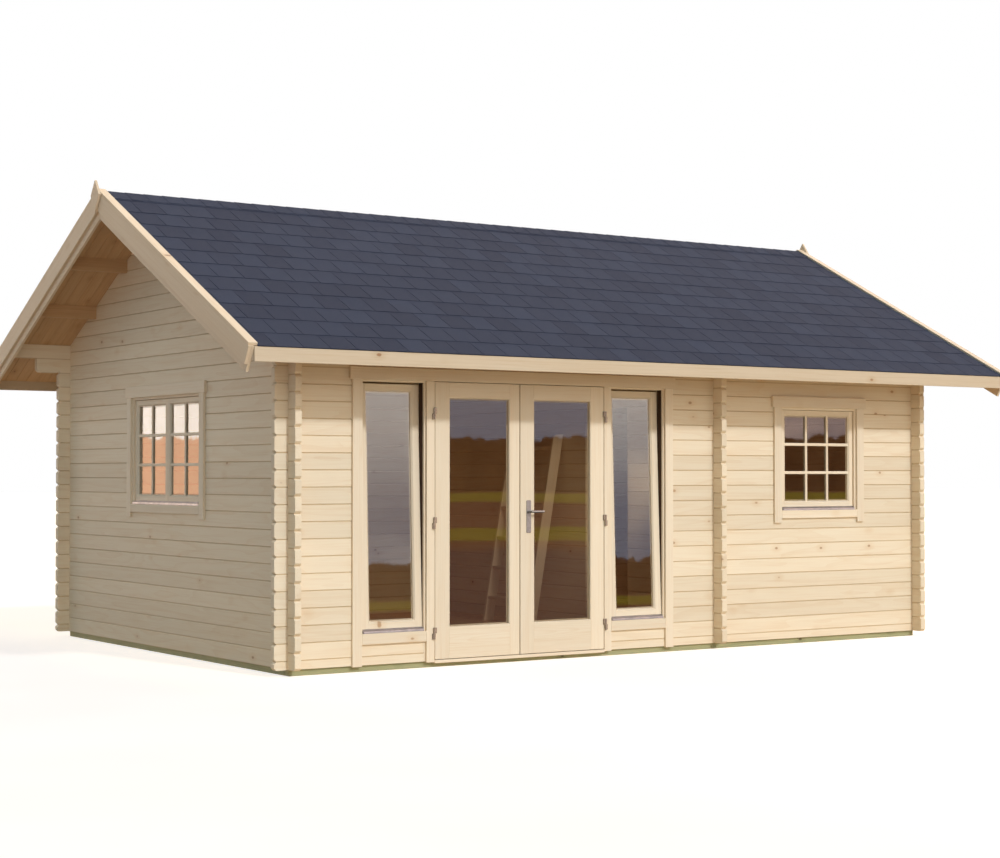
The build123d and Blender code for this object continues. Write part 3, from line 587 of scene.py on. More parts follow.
# frames and sashes, built of separate members as a joiner makes them
def slopedMember(stack, outline, sloping, front, rear, chamfer, grain, turn):
    # a thick outline in x and z whose face falls back between its sloping corners
    count = len(outline)
    deep = sloping[1:3]
    bm = bmesh.new()
    verts = [bm.verts.new((x, front + (chamfer if i in deep else 0), z)) for i, (x, z) in enumerate(outline)]
    verts += [bm.verts.new((x, rear, z)) for x, z in outline]
    bm.faces.new([verts[i] for i in range(count) if i not in deep])
    bm.faces.new([verts[i] for i in sloping])
    bm.faces.new(verts[count:])
    for i in range(count):
        j = (i + 1) % count
        bm.faces.new((verts[i], verts[j], verts[count + j], verts[count + i]))
    bmesh.ops.recalc_face_normals(bm, faces=bm.faces)
    sharp = [e for e in bm.edges if e.calc_face_angle(0) > 0.9]
    bmesh.ops.bevel(bm, geom=sharp, offset=0.0012, segments=1, affect="EDGES", clamp_overlap=True)
    stack.shape(*takeApart(bm), grain, turn)


def chamferedFrame(stack, low, high, opening, chamfer, turn):
    # the chamfer round the opening is mitred, behind it the stiles run through
    left, right, bottom, top = opening
    for outer, inner in ((low.x, left), (high.x, right)):
        edge = inner + math.copysign(chamfer, outer - inner)
        outline = [(outer, low.z), (edge, low.z), (edge, bottom - chamfer), (inner, bottom),
                   (inner, top), (edge, top + chamfer), (edge, high.z), (outer, high.z)]
        slopedMember(stack, outline, (2, 3, 4, 5), low.y, high.y, chamfer, 2, turn)
    for outer, inner in ((low.z, bottom), (high.z, top)):
        edge = inner + math.copysign(chamfer, outer - inner)
        outline = [(left - chamfer, outer), (left - chamfer, edge), (left, inner),
                   (right, inner), (right + chamfer, edge), (right + chamfer, outer)]
        slopedMember(stack, outline, (1, 2, 3, 4), low.y, high.y, chamfer, 0, turn)


glazing = {"glassHold": 0.012, "bead": 0.011, "beadTop": 0.35, "beadSetback": 0.005}


def glazingBeads(stack, opening, glassRear, beadRear, turn):
    # sloping strips that hold the pane from the room side, mitred at the corners
    left, right, bottom, top = opening
    corners = [(left, bottom), (right, bottom), (right, top), (left, top)]
    width, narrow = glazing["bead"], glazing["beadTop"]
    for i in range(4):
        ring = []
        for x, z in (corners[i], corners[(i + 1) % 4]):
            toX = width if x == left else -width
            toZ = width if z == bottom else -width
            ring += [Vector((x, glassRear, z)), Vector((x, beadRear, z)),
                     Vector((x + toX * narrow, beadRear, z + toZ * narrow)),
                     Vector((x + toX, glassRear, z + toZ))]
        faces = [[3, 2, 1, 0], [4, 5, 6, 7], [1, 5, 4, 0], [2, 6, 5, 1], [3, 7, 6, 2], [0, 4, 7, 3]]
        stack.shape(ring, faces, 0 if i % 2 == 0 else 2, turn)


def buildGlazedFrame(stack, low, high, pane, chamfer, turn=upright):
    # members round one pane; returns the opening they leave
    glassLow, glassHigh = pane
    hold = glazing["glassHold"]
    opening = (glassLow.x + hold, glassHigh.x - hold, glassLow.z + hold, glassHigh.z - hold)
    chamferedFrame(stack, low, high, opening, chamfer, turn)
    glazingBeads(stack, opening, glassHigh.y, high.y - glazing["beadSetback"], turn)
    return opening


doorLeaf = {"chamfer": 0.006}
for seed, side in enumerate(("left", "right"), 31):
    leafBoards = BoardStack(f"doorLeafBoards_{side}", seed)
    leafLow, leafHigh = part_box(f"door_leaf_{side}")
    buildGlazedFrame(leafBoards, leafLow, leafHigh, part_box(f"door_glass_{side}"), doorLeaf["chamfer"])
    leafBoards.build(joineryPine, f"{side}_leaf", "pine_boards", f"door_leaf_{side}")
print("door leaves built")

sashLook = {"chamfer": 0.012, "barWidth": 0.024, "barInset": 0.006, "barEdge": 0.004, "barStep": 0.001}


def buildSashes(stack, node, turn, across, up):
    # the sashes of one facing; each is built upright, then turned into place
    back = turn.transposed()
    panes = looseSolids("window_glass", back)
    half, inset, step = sashLook["barWidth"] / 2, sashLook["barInset"], sashLook["barStep"]
    chamfer, edge = sashLook["chamfer"], sashLook["barEdge"]
    for low, high in looseSolids(node, back):
        if high.y - low.y > high.x - low.x:  # seen end on, so it faces another way
            continue
        pane = next(p for p in panes if all(low[i] < p[0][i] and p[1][i] < high[i] for i in range(3)))
        left, right, bottom, top = buildGlazedFrame(stack, low, high, pane, chamfer, turn)
        # bars on both faces of the pane, the outer ones run on to the chamfer
        faces = ((low.y + inset, pane[0].y, chamfer - inset), (pane[1].y, high.y - inset, 0))
        for face, inner, reach in faces:
            for i in range(1, across + 1):
                x = left + (right - left) * i / (across + 1)
                stack.board((x - half, face, bottom - reach), (x + half, inner, top + reach), 2, edge, turn)
            for i in range(1, up + 1):
                z = bottom + (top - bottom) * i / (up + 1)
                stack.board((left - reach, face + step, z - half), (right + reach, inner - step, z + half),
                            0, edge, turn)


tiltedSashes = BoardStack("tiltedSashes", 41)
sashLean = Matrix.Rotation(slopeOf("side_window_sashes") - math.pi / 2, 3, "X")
buildSashes(tiltedSashes, "side_window_sashes", sashLean, 0, 0)
tiltedSashes.build(joineryPine, "house", "pine_boards", "side_window_sashes")
smallSashes = BoardStack("smallSashes", 51)
buildSashes(smallSashes, "window_sashes", wallPlace("front"), 2, 2)
buildSashes(smallSashes, "window_sashes", wallPlace("left"), 1, 2)
smallSashes.build(joineryPine, "house", "pine_boards", "window_sashes")

smallFrame = {"stile": 0.0297, "topRail": 0.0497, "bottomRail": 0.0647, "edge": 0.002}


def buildSmallFrames():
    # stiles run through, rails stand between them
    stack = BoardStack("smallWindowFrames", 61)
    stile, edge = smallFrame["stile"], smallFrame["edge"]
    for low, high in looseSolids("window_frames"):
        turn = wallPlace("left" if low.x < gableFace + 0.1 else "front")
        back = turn.transposed()
        a, b = back @ low, back @ high
        low, high = Vector(map(min, a, b)), Vector(map(max, a, b))
        left, right = low.x + stile, high.x - stile
        stack.board(low, (left, high.y, high.z), 2, edge, turn)
        stack.board((right, low.y, low.z), high, 2, edge, turn)
        stack.board((left, low.y, high.z - smallFrame["topRail"]), (right, high.y, high.z), 0, edge, turn)
        stack.board((left, low.y, low.z), (right, high.y, low.z + smallFrame["bottomRail"]), 0, edge, turn)
    stack.build(joineryPine, "house", "pine_boards", "window_frames")


buildSmallFrames()

entranceFrame = {
    "reveal": 0.013, "post": 0.081, "stop": 0.012, "leafGap": 0.005, "sashGap": 0.003, "footDepth": 0.05,
    "play": 0.0003, "edge": 0.002, "fineEdge": 0.001, "paintedGapShadeStrip": 0.0012, "paintedGapShadeSetback": 0.006,
}


def standing(stack, xs, ys, zs, edge):
    # an upright member; its two X places come in either order
    stack.board((min(xs), ys[0], zs[0]), (max(xs), ys[1], zs[1]), 2, edge)


def buildEntranceFrame():
    stack, stops = BoardStack("entranceFrameMembers", 71), BoardStack("stainedStops", 72)
    low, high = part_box("entrance_frame")
    leftLeaf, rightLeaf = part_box("door_leaf_left"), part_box("door_leaf_right")
    edge, fineEdge, gap = entranceFrame["edge"], entranceFrame["fineEdge"], entranceFrame["leafGap"]
    rear, headLow = leftLeaf[1].y + gap, leftLeaf[1].z + gap
    underHead = headLow - entranceFrame["reveal"]
    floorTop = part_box("floor")[1].z
    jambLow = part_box("front_wall_under_windows")[1].z + entranceFrame["play"]
    sashes = looseSolids("side_window_sashes")
    sillTop = sashes[0][0].z - 0.001
    whole = (low.y, high.y)
    for side, (sashLow, sashHigh) in zip((-1, 1), sashes):
        inner, outer = (sashHigh.x, sashLow.x) if side < 0 else (sashLow.x, sashHigh.x)
        postOuter = inner - side * entranceFrame["sashGap"]
        postInner = postOuter - side * entranceFrame["post"]
        jambInner = outer + side * entranceFrame["sashGap"]
        jambOuter = low.x if side < 0 else high.x
        standing(stack, (postInner, postOuter), whole, (floorTop, headLow), edge)
        standing(stack, (jambInner, jambOuter), whole, (jambLow, headLow), edge)
        # painted shade: near-black strips line the opening behind the sash's face, for the shade in the gap
        # where the sash leans away
        cover = side * entranceFrame["paintedGapShadeStrip"]
        behind = (sashLow.y + 0.001, high.y - entranceFrame["paintedGapShadeSetback"])
        for at, out in ((postOuter, cover), (jambInner, -cover)):
            standing(stops, (at, at + out), behind, (sillTop, underHead), 0.0004)
        # the post's foot beside the threshold, and the stop that the leaf shuts against
        foot = (low.y, low.y + entranceFrame["footDepth"])
        standing(stack, (postInner, postOuter), foot, (low.z, floorTop), fineEdge)
        stop = postInner - side * entranceFrame["stop"]
        standing(stack, (stop, postInner), (rear, high.y), (floorTop, headLow), fineEdge)
        a, b = sorted((postOuter, jambInner))
        stack.board((a, low.y, jambLow), (b, high.y, sillTop), 0, edge)
        stack.board((a, low.y, underHead), (b, high.y, headLow), 0, fineEdge)
    stack.board((low.x, low.y, headLow), high, 0, edge)
    stack.board((leftLeaf[0].x - gap, rear, headLow - entranceFrame["stop"]),
                (rightLeaf[1].x + gap, high.y, headLow), 0, fineEdge)
    stack.build(joineryPine, "house", "pine_boards", "entrance_frame")
    stops.build(paintedGapShadePine, "house", "pine_boards")


buildEntranceFrame()
print("frames and sashes built")


# rows of one piece, laid by geometry nodes
def buildRowTree():
    # columns and rows of a blank; odd rows are set off sideways, then all is turned and put in place
    tree = bpy.data.node_groups.new("rowsOfPieces", "GeometryNodeTree")
    tree.interface.new_socket("Geometry", in_out="INPUT", socket_type="NodeSocketGeometry")
    for label, kind in (
        ("Blank", "NodeSocketObject"), ("Columns", "NodeSocketInt"), ("Rows", "NodeSocketInt"),
        ("Pitch", "NodeSocketFloat"), ("Row Pitch", "NodeSocketFloat"), ("Stagger", "NodeSocketFloat"),
        ("Start", "NodeSocketVector"), ("Wobble", "NodeSocketVector"), ("Seed", "NodeSocketInt"),
        ("Turn", "NodeSocketVector"), ("Place", "NodeSocketVector"), ("Finish", "NodeSocketMaterial"),
    ):
        tree.interface.new_socket(label, in_out="INPUT", socket_type=kind)
    tree.interface.new_socket("Geometry", in_out="OUTPUT", socket_type="NodeSocketGeometry")
    source, sink = tree.nodes.new("NodeGroupInput"), tree.nodes.new("NodeGroupOutput")
    given = source.outputs

    def step(kind, settings=None, **values):
        return feed(tree, addNode(tree, kind, **(settings or {})), **values).outputs

    index = step("GeometryNodeInputIndex")[0]
    column = maths(tree, "MODULO", index, given["Columns"])
    row = maths(tree, "FLOOR", maths(tree, "DIVIDE", plus(tree, index, 0.5), given["Columns"]))
    odd = maths(tree, "MODULO", row, 2.0)
    across = plus(tree, times(tree, column, given["Pitch"]), times(tree, odd, given["Stagger"]))
    up = times(tree, row, given["Row Pitch"])
    spot = vectorMaths(tree, "ADD", combined(tree, across, up), given["Start"])
    points = step("GeometryNodePoints", Count=times(tree, given["Columns"], given["Rows"]), Position=spot)
    blank = step("GeometryNodeObjectInfo", Object=given["Blank"])
    opposite = scaled(tree, given["Wobble"], (-1, -1, -1))
    wobble = step("FunctionNodeRandomValue", {"data_type": "FLOAT_VECTOR"},
                  Min=opposite, Max=given["Wobble"], Seed=given["Seed"])
    laid = step("GeometryNodeInstanceOnPoints", Points=points[0], Instance=blank["Geometry"],
                Rotation=wobble["Value"])
    real = step("GeometryNodeRealizeInstances", Geometry=laid[0])

    # each piece gets a tone of its own
    island = step("GeometryNodeInputMeshIsland")
    dice = step("FunctionNodeRandomValue", {"data_type": "FLOAT"},
                ID=island["Island Index"], Seed=given["Seed"])
    tone = step("GeometryNodeStoreNamedAttribute", {"data_type": "FLOAT", "domain": "POINT"},
                Name="boardTone", Geometry=real[0], Value=dice["Value"])
    moved = step("GeometryNodeTransform",
                 Geometry=tone[0], Translation=given["Place"], Rotation=given["Turn"])
    finish = step("GeometryNodeSetMaterial", Geometry=moved[0], Material=given["Finish"])
    plug(tree, sink.inputs[0], finish[0])
    return tree


rowTree = buildRowTree()


def grow(name, **sizes):
    # runs the tree once and keeps the result as a plain mesh
    maker = linked(name + "Maker", bpy.data.meshes.new(name + "Maker"))
    modifier = maker.modifiers.new("grow", "NODES")
    modifier.node_group = rowTree
    for item in rowTree.interface.items_tree:
        if item.in_out == "INPUT" and item.name in sizes:
            modifier[item.identifier] = sizes[item.name]
    graph = bpy.context.evaluated_depsgraph_get()
    mesh = bpy.data.meshes.new_from_object(maker.evaluated_get(graph), depsgraph=graph)
    bpy.data.objects.remove(maker)
    mesh.name = name
    return mesh


def cutAway(bm, place, outwards):
    # takes off what lies past a plane and closes the cut
    cut = bmesh.ops.bisect_plane(
        bm, geom=bm.verts[:] + bm.edges[:] + bm.faces[:], plane_co=place, plane_no=outwards, clear_outer=True,
    )
    edges = [e for e in cut["geom_cut"] if isinstance(e, bmesh.types.BMEdge)]
    bmesh.ops.holes_fill(bm, edges=edges, sides=12)


def trimEnds(mesh, low, high):
    # cuts a mesh square at two X places
    bm = bmesh.new()
    bm.from_mesh(mesh)
    cutAway(bm, (low, 0, 0), (-1, 0, 0))
    cutAway(bm, (high, 0, 0), (1, 0, 0))
    bm.to_mesh(mesh)
    bm.free()


def joinMeshes(name, meshes, node):
    bm = bmesh.new()
    for mesh in meshes:
        bm.from_mesh(mesh)
    bmesh.ops.recalc_face_normals(bm, faces=bm.faces)
    joined = bpy.data.meshes.new(name)
    bm.to_mesh(joined)
    bm.free()
    for material in meshes[0].materials:
        joined.materials.append(material)
    settle(linked(name, joined), "house", (node,))


def prismFaces(n):
    # the sides and the two ends of a prism, whose corners are two outlines of n, one after the other
    sides = [[i, (i + 1) % n, n + (i + 1) % n, n + i] for i in range(n)]
    return sides, [list(range(n))[::-1], list(range(n, 2 * n))]


# the slope's own directions: X along the ridge, Y up the slope from the eave, Z square to it
coverLow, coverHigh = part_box("shingles_front")
deckLow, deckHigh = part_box("roof_boards_front")
slope = slopeOf("shingles_front")
deckTopAtEave = deckHigh.z - (deckHigh.y - coverLow.y) * math.tan(slope)
roofSides = {"front": (0.0, coverLow.y), "rear": (math.pi, -coverLow.y)}  # turn about Z and Y of the eave


def layOnSlope(side, name, low, high, **sizes):
    spin, eave = roofSides[side]
    mesh = grow(name, Turn=(slope, 0.0, spin), Place=(0.0, eave, deckTopAtEave), **sizes)
    trimEnds(mesh, low.x, high.x)
    return mesh


# roof boards, running from ridge to eave, with a chamfered joint underneath
roofBoards = {"width": 0.0955, "chamfer": 0.0035, "joint": 0.0002, "seed": 3}


def buildRoofBoards():
    thick = (deckHigh.z - (deckHigh.y - deckLow.y) * math.tan(slope) - deckLow.z) * math.cos(slope)
    width, chamfer, joint = roofBoards["width"], roofBoards["chamfer"], roofBoards["joint"]
    half = width / 2 - joint
    section = [(-half, -joint), (-half, -thick + chamfer), (-half + chamfer, -thick),
               (half - chamfer, -thick), (half, -thick + chamfer), (half, -joint)]
    start = (deckLow.y - coverLow.y) / math.cos(slope)
    stop = (deckHigh.y - coverLow.y) / math.cos(slope)
    verts = [(x, along + z * math.tan(slope), z) for along in (start, stop) for x, z in section]
    coords = [(y, x, z) for x, y, z in verts]
    sides, ends = prismFaces(len(section))
    blank = linked("roofBoardBlank", meshFrom("roofBoardBlank", verts, sides + ends, coords))
    count = math.ceil((deckHigh.x - deckLow.x) / width)
    for side in roofSides:
        mesh = layOnSlope(
            side, f"roofBoards_{side}", deckLow, deckHigh, Blank=blank, Columns=count, Rows=1, Pitch=width,
            Start=(-width * (count - 1) / 2, 0.0, 0.0), Seed=roofBoards["seed"], Finish=roofPaintedShadePine,
        )
        joinMeshes(f"roofBoards_{side}", [mesh], f"roof_boards_{side}")
    bpy.data.objects.remove(blank)


buildRoofBoards()

# shingles: rows of tabs, each row set off by half a tab
shingles = {
    "tab": 0.205, "slit": 0.0045, "row": 0.2486, "lap": 0.03, "eaveRow": 0.226, "underlay": 0.003,
    "butt": 0.0044, "thinEnd": 0.0006, "corner": 0.004, "cornerMiddle": 0.0015, "seed": 5, "wobble": 0.0016,
}


def buildShingleBlank(length, base):
    # thick at its lower edge (Y = 0), thin where the next row covers it; two rounded lower corners
    half = (shingles["tab"] - shingles["slit"]) / 2
    butt, thin, corner, middle = (shingles[k] for k in ("butt", "thinEnd", "corner", "cornerMiddle"))
    plan = [(-half, corner), (-half + middle, middle), (-half + corner, 0), (half - corner, 0),
            (half - middle, middle), (half, corner), (half, length), (-half, length)]
    verts = [(x, y, base) for x, y in plan]
    verts += [(x, y, base + butt - (butt - thin) * y / length) for x, y in plan]
    sides, ends = prismFaces(len(plan))
    return linked("shingleBlank", meshFrom("shingleBlank", verts, ends + sides))


def buildUnderlay(side, low, high):
    # the sheet under the tabs, given in the slope's own directions
    verts, faces = bevelledBlock(low, high, 0.0005)
    mesh = meshFrom("underlay", verts, faces, tones=[0.0] * len(verts))
    mesh.materials.append(shingleGranules)
    spin, eave = roofSides[side]
    place = Matrix.Translation((0.0, eave, deckTopAtEave))
    mesh.transform(place @ Matrix.Rotation(spin, 4, "Z") @ Matrix.Rotation(slope, 4, "X"))
    return mesh


def buildShingles():
    tab, row, eaveRow, base = (shingles[k] for k in ("tab", "row", "eaveRow", "underlay"))
    length = (coverHigh.y - coverLow.y) / math.cos(slope)
    rows = math.ceil((length - eaveRow) / row)
    columns = math.ceil((coverHigh.x - coverLow.x) / tab) + 2
    left = -tab * (columns - 1) / 2
    # the upper corner of the first row ends over the edge of the covering
    setback = (base + shingles["butt"]) * math.tan(slope)
    blank = buildShingleBlank(row + shingles["lap"], base)
    common = dict(Blank=blank, Columns=columns, Pitch=tab, Wobble=(shingles["wobble"], 0.0, 0.0),
                  Finish=shingleGranules)
    for side in roofSides:
        first = layOnSlope(
            side, "eaveRow", coverLow, coverHigh, Rows=1, Start=(left - tab / 4, setback, 0.0),
            Seed=shingles["seed"] + 7, **common,
        )
        rest = layOnSlope(
            side, "upperRows", coverLow, coverHigh, Rows=rows, Stagger=tab / 2, **{"Row Pitch": row},
            Start=(left + tab / 4, eaveRow, 0.0), Seed=shingles["seed"] + len(side), **common,
        )
        trimAboveRidge(rest)
        low, high = Vector((coverLow.x, setback, 0.0)), Vector((coverHigh.x, length - 0.001, base))
        under = buildUnderlay(side, low, high)
        joinMeshes(f"shingleRows_{side}", [under, first, rest], f"shingles_{side}")
    bpy.data.objects.remove(blank)


def trimAboveRidge(mesh):
    # the last row ends at the ridge
    bm = bmesh.new()
    bm.from_mesh(mesh)
    side = 1 if sum(v.co.y for v in bm.verts) > 0 else -1
    cutAway(bm, (0, side * 0.0005, 0), (0, -side, 0))
    bm.to_mesh(mesh)
    bm.free()


buildShingles()

ridgeTabs = {
    "reach": 0.168, "exposure": 0.155, "lap": 0.02, "thickness": 0.0035, "thinEnd": 0.0006, "fold": 0.012,
    "sink": 0.0005, "seed": 11,
}


def buildRidgeTabs():
    # folded tabs along the ridge, each lapping over the next one
    low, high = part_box("ridge_cap")
    exposure, thick, sink, fold = (ridgeTabs[k] for k in ("exposure", "thickness", "sink", "fold"))
    reach = ridgeTabs["reach"] * math.cos(slope)
    ridgeTop = high.z - thick - sink
    verts, faces = [], []
    for x, lift in ((0.0, thick), (exposure + ridgeTabs["lap"], ridgeTabs["thinEnd"])):
        for y in (-reach, -fold, fold, reach):
            top = ridgeTop - max(abs(y), fold / 2) * math.tan(slope)
            verts.append((x, y, top - sink - thick * 0.5))
            verts.append((x, y, top + lift))
    # corners run across the ridge in pairs, under and over: 0 to 7 at the thick end, 8 to 15 at the thin one
    for i in range(0, 6, 2):
        faces.append([i + 1, i + 9, i + 11, i + 3])
        faces.append([i, i + 2, i + 10, i + 8])
        faces.append([i, i + 1, i + 3, i + 2])
        faces.append([i + 8, i + 10, i + 11, i + 9])
    faces += [[0, 8, 9, 1], [6, 7, 15, 14]]
    blank = linked("ridgeTabBlank", meshFrom("ridgeTabBlank", verts, faces))
    count = math.ceil((high.x - low.x) / exposure)
    mesh = grow("ridgeTabs", Blank=blank, Columns=count, Rows=1, Pitch=exposure, Start=(low.x, 0.0, 0.0),
                Seed=ridgeTabs["seed"], Finish=shingleGranules)
    trimEnds(mesh, low.x, high.x)
    joinMeshes("ridgeTabs", [mesh], "ridge_cap")
    bpy.data.objects.remove(blank)


buildRidgeTabs()
print("roof laid")

# floor boards in both rooms
floorBoards = {"width": 0.11, "groove": 0.0015, "chamfer": 0.0012, "play": 0.0003}


def buildFloor():
    stack = BoardStack("floorBoards", 81)
    low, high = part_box("floor")
    sillLow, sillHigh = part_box("partition_over")
    count = round((high.y - low.y) / floorBoards["width"])
    pitch = (high.y - low.y) / count
    gap, play, chamfer = floorBoards["groove"] / 2, floorBoards["play"], floorBoards["chamfer"]
    for i in range(count):
        y0 = max(low.y + pitch * i + gap, low.y)
        y1 = min(low.y + pitch * (i + 1) - gap, high.y)
        for x0, x1 in ((low.x, sillLow.x - play), (sillHigh.x + play, high.x)):
            stack.board((x0, y0, low.z), (x1, y1, high.z), 0, chamfer)
    # one board across them in the passage
    stack.board((sillLow.x, sillLow.y, low.z), (sillHigh.x, sillHigh.y, high.z), 1, chamfer)
    stack.build(floorPine, "house", "pine_floor", "floor")


buildFloor()
print("floor laid")

# stage, light and camera
stageFloor = {
    "bounce": (0.82, 0.62, 0.38, 1), "gableBounce": (0.5, 0.38, 0.3, 1), "glow": 0.72, "reach": 120.0,
    "below": 0.002,
}


def buildFloorStage():
    # white to the camera, warm to the light it throws back, and unseen by mirror rays
    material, tree, shader = newMaterial("paleFloor")
    place = objectPlace(tree)
    sunny = ramp(tree, separated(tree, place)[0], gableFace - 1.2, gableFace + 0.2)
    patchy = noiseAt(tree, place, 0.6, 3.0)
    pale = mixColour(tree, sunny, stageFloor["gableBounce"], stageFloor["bounce"])
    pale = mixColour(tree, ramp(tree, patchy, 0.3, 0.7, 0.0, 0.06), pale, (1.0, 1.0, 1.0, 1))
    tree.links.new(pale, shader.inputs["Base Color"])
    shader.inputs["Roughness"].default_value = 1.0
    shader.inputs["Specular IOR Level"].default_value = 0.0
    path = addNode(tree, "ShaderNodeLightPath").outputs
    glow = addNode(tree, "ShaderNodeEmission")
    feed(tree, glow, Strength=times(tree, path["Is Camera Ray"], stageFloor["glow"]))
    both = addNode(tree, "ShaderNodeAddShader")
    clear = addNode(tree, "ShaderNodeBsdfTransparent")
    unseen = addNode(tree, "ShaderNodeMixShader")
    for i, node in enumerate((shader, glow)):
        tree.links.new(node.outputs[0], both.inputs[i])
    for i, value in enumerate((path["Is Glossy Ray"], both.outputs[0], clear.outputs[0])):
        tree.links.new(value, unseen.inputs[i])
    tree.links.new(unseen.outputs[0], tree.nodes["Material Output"].inputs["Surface"])
    r = stageFloor["reach"]
    mesh = meshFrom("studioFloor", [(-r, -r, 0), (r, -r, 0), (r, r, 0), (-r, r, 0)], [(0, 1, 2, 3)])
    mesh.materials.append(material)
    plane = linked("studioFloor", mesh)
    plane.location.z = -stageFloor["below"]


# the land that the panes mirror; its levels are heights of a direction, where 1 is straight up
scenery = {
    "skyLow": (1.2, 1.12, 1.38, 1), "skyHigh": (3.9, 3.45, 3.2, 1), "cloud": (3.2, 2.9, 2.8, 1),
    "skyWarm": (1.25, 0.95, 0.78, 1), "warmFrom": 39.5, "warmTo": 42,
    "leaves": (0.42, 0.14, 0.045, 1), "leavesLit": (0.66, 0.25, 0.09, 1), "treeTops": 0.0185, "ragged": 0.004,
    "dips": ((30.4, 1.5), (38.7, 1.45)), "dipDepth": 0.0095, "treeFeet": (-0.0099, -0.0085),
    "earth": (0.85, 0.32, 0.16, 1), "nearEarth": (0.6, 0.27, 0.22, 1), "nearEdge": -0.037,
    "meadow": (1.15, 0.75, 0.09, 1), "bands": ((-0.0145, -0.0099), (-0.0347, -0.028)), "soft": 0.0006,
    "openSky": (4.2, 3.6, 3.1, 1), "openGround": (3.0, 1.6, 0.95, 1),
    "paving": (0.75, 0.68, 0.6, 1), "pavingFrom": -0.088, "pavingTo": -0.12,
}


def mirroredLand(tree, towards, x, y, height):
    # a field with trees far off, under a pale sky
    soft = scenery["soft"]
    ragged = noiseAt(tree, scaled(tree, towards, (80.0, 80.0, 30.0)), 1.0, 8.0, 0.68)
    bearing = maths(tree, "ARCTAN2", x, times(tree, y, -1.0))
    tops, spread = scenery["treeTops"], scenery["ragged"]
    treeTop = ramp(tree, ragged, 0.25, 0.75, tops - spread, tops + spread, False)
    for middle, reach in scenery["dips"]:
        aside = maths(tree, "ABSOLUTE", minus(tree, bearing, math.radians(middle)))
        dip = ramp(tree, aside, math.radians(reach), math.radians(reach) * 0.8, 0.0, scenery["dipDepth"])
        treeTop = minus(tree, treeTop, dip)
    sky = mixColour(tree, ramp(tree, height, 0.025, 0.1), scenery["skyLow"], scenery["skyHigh"])
    cloud = noiseAt(tree, scaled(tree, towards, (9.0, 9.0, 26.0)), 1.0, 4.0, 0.55)
    sky = mixColour(tree, ramp(tree, cloud, 0.48, 0.72, 0.0, 0.6), sky, scenery["cloud"])
    warm = ramp(tree, bearing, math.radians(scenery["warmFrom"]), math.radians(scenery["warmTo"]))
    sky = mixColour(tree, warm, sky, scenery["skyWarm"], "MULTIPLY")
    near = ramp(tree, height, scenery["nearEdge"] - 0.004, scenery["nearEdge"])
    ground = mixColour(tree, near, scenery["nearEarth"], scenery["earth"])
    for low, high in scenery["bands"]:
        above = ramp(tree, height, low - soft, low + soft)
        below = ramp(tree, height, high + soft, high - soft)
        ground = mixColour(tree, times(tree, above, below), ground, scenery["meadow"])
    leaves = mixColour(tree, ramp(tree, ragged, 0.35, 0.65), scenery["leaves"], scenery["leavesLit"])
    ground = mixColour(tree, ramp(tree, height, *scenery["treeFeet"]), ground, leaves)
    # the far side, seen by the gable window, lies open and bright
    farSide = ramp(tree, y, -0.2, 0.2)
    sky = mixColour(tree, farSide, sky, scenery["openSky"])
    ground = mixColour(tree, farSide, ground, scenery["openGround"])
    # pale paving round the house, on every side
    paved = ramp(tree, height, scenery["pavingFrom"], scenery["pavingTo"])
    ground = mixColour(tree, paved, ground, scenery["paving"])
    return mixColour(tree, ramp(tree, minus(tree, height, treeTop), -soft, soft), ground, sky)


skyLight = {
    "strength": 0.3, "colour": (0.93, 0.99, 1.08), "front": (4.7, 4.2, 3.65), "gable": (0.59, 0.98, 1.21, 1),
    "rear": (5.0, 4.6, 4.0), "rearTowards": (0.62, 0.75, -0.22),
}


def softLight(tree, towards, x, y):
    # the sky that lights the house; front and rear are how many times brighter it is there
    even = [c * skyLight["strength"] for c in skyLight["colour"]]
    front = [c * more for c, more in zip(even, skyLight["front"])] + [1]
    rear = [c * more for c, more in zip(even, skyLight["rear"])] + [1]
    # brighter behind the house, so that the walls away from the sun keep their colour
    behind = vectorMaths(tree, "DOT_PRODUCT", towards, skyLight["rearTowards"])
    lit = mixColour(tree, ramp(tree, behind, 0.3, 0.9), even + [1], rear)
    # brighter before it too, where the low sky reaches in under the eaves
    lit = mixColour(tree, ramp(tree, y, -0.5, -0.9), lit, front)
    # cool from the gable side, over the warm light that the ground throws back
    return mixColour(tree, ramp(tree, x, -0.3, -0.7), lit, skyLight["gable"], "MULTIPLY")


def buildWorld():
    # camera rays see plain white, mirror rays the land, and all others the soft light
    world = bpy.data.worlds.new("studioSky")
    bpy.context.scene.world = world
    world.use_nodes = True
    tree = world.node_tree
    towards = addNode(tree, "ShaderNodeTexCoord").outputs["Generated"]
    x, y, height = separated(tree, towards)
    path = addNode(tree, "ShaderNodeLightPath").outputs
    land = mirroredLand(tree, towards, x, y, height)
    colour = mixColour(tree, path["Is Glossy Ray"], softLight(tree, towards, x, y), land)
    colour = mixColour(tree, path["Is Camera Ray"], colour, (1.0, 1.0, 1.0, 1))
    feed(tree, tree.nodes["Background"], Color=colour, Strength=1.0)


sunLight = {"strength": 1.65, "colour": (0.88, 0.95, 1.05), "spread": 4.0, "height": 34.0, "turn": 8.0}


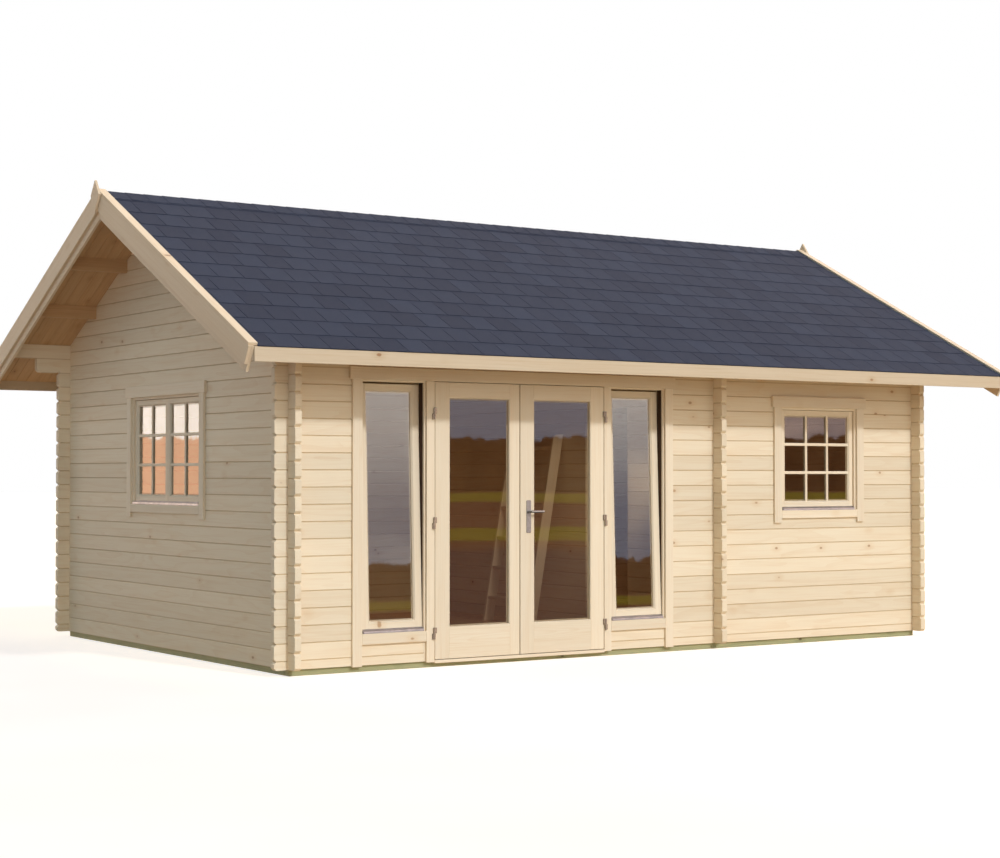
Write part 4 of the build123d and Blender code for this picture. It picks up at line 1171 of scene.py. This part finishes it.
def buildSun():
    sun = bpy.data.lights.new("sun", "SUN")
    sun.energy = sunLight["strength"]
    sun.color = sunLight["colour"]
    sun.angle = math.radians(sunLight["spread"])
    tilt, turn = math.radians(90 - sunLight["height"]), math.radians(sunLight["turn"])
    linked("sun", sun).rotation_euler = (tilt, 0, turn)


roomLamp = {
    "strength": 26.0, "colour": (1.0, 0.82, 0.62), "cone": 62, "blend": 0.8, "radius": 0.12,
    "besideLadder": 0.1, "behindWall": 0.12, "height": 1.5, "aimHeight": 0.9,
}


def buildRoomLamp():
    # a weak lamp behind the front wall; its light grazes the partition and picks out the ladder
    lamp = bpy.data.lights.new("roomLamp", "SPOT")
    lamp.energy = roomLamp["strength"]
    lamp.color = roomLamp["colour"]
    lamp.spot_size = math.radians(roomLamp["cone"])
    lamp.spot_blend = roomLamp["blend"]
    lamp.shadow_soft_size = roomLamp["radius"]
    low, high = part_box("ladder")
    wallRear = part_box("front_wall_right")[1].y
    bulb = linked("roomLamp", lamp)
    bulb.location = (low.x + roomLamp["besideLadder"], wallRear + roomLamp["behindWall"], roomLamp["height"])
    aim = Vector(((low.x + high.x) / 2, (low.y + high.y) / 2, roomLamp["aimHeight"])) - bulb.location
    bulb.rotation_euler = aim.to_track_quat("-Z", "Y").to_euler()
    bulb.visible_camera = bulb.visible_glossy = bulb.visible_transmission = False


cameraView = {
    "lens": 69.57, "sensor": 36.0, "farthest": 300,
    "place": (-9.327, -13.91, 1.399), "tilt": 91.33, "turn": -34.07,
}


def buildCamera():
    lens = bpy.data.cameras.new("camera")
    lens.lens, lens.sensor_width = cameraView["lens"], cameraView["sensor"]
    lens.clip_end = cameraView["farthest"]
    camera = linked("camera", lens)
    camera.location = cameraView["place"]
    camera.rotation_euler = (math.radians(cameraView["tilt"]), 0, math.radians(cameraView["turn"]))
    bpy.context.scene.camera = camera


buildFloorStage()
buildWorld()
buildSun()
buildRoomLamp()
buildCamera()
bpy.context.scene.view_settings.view_transform = "Standard"
print("stage, light and camera ready")
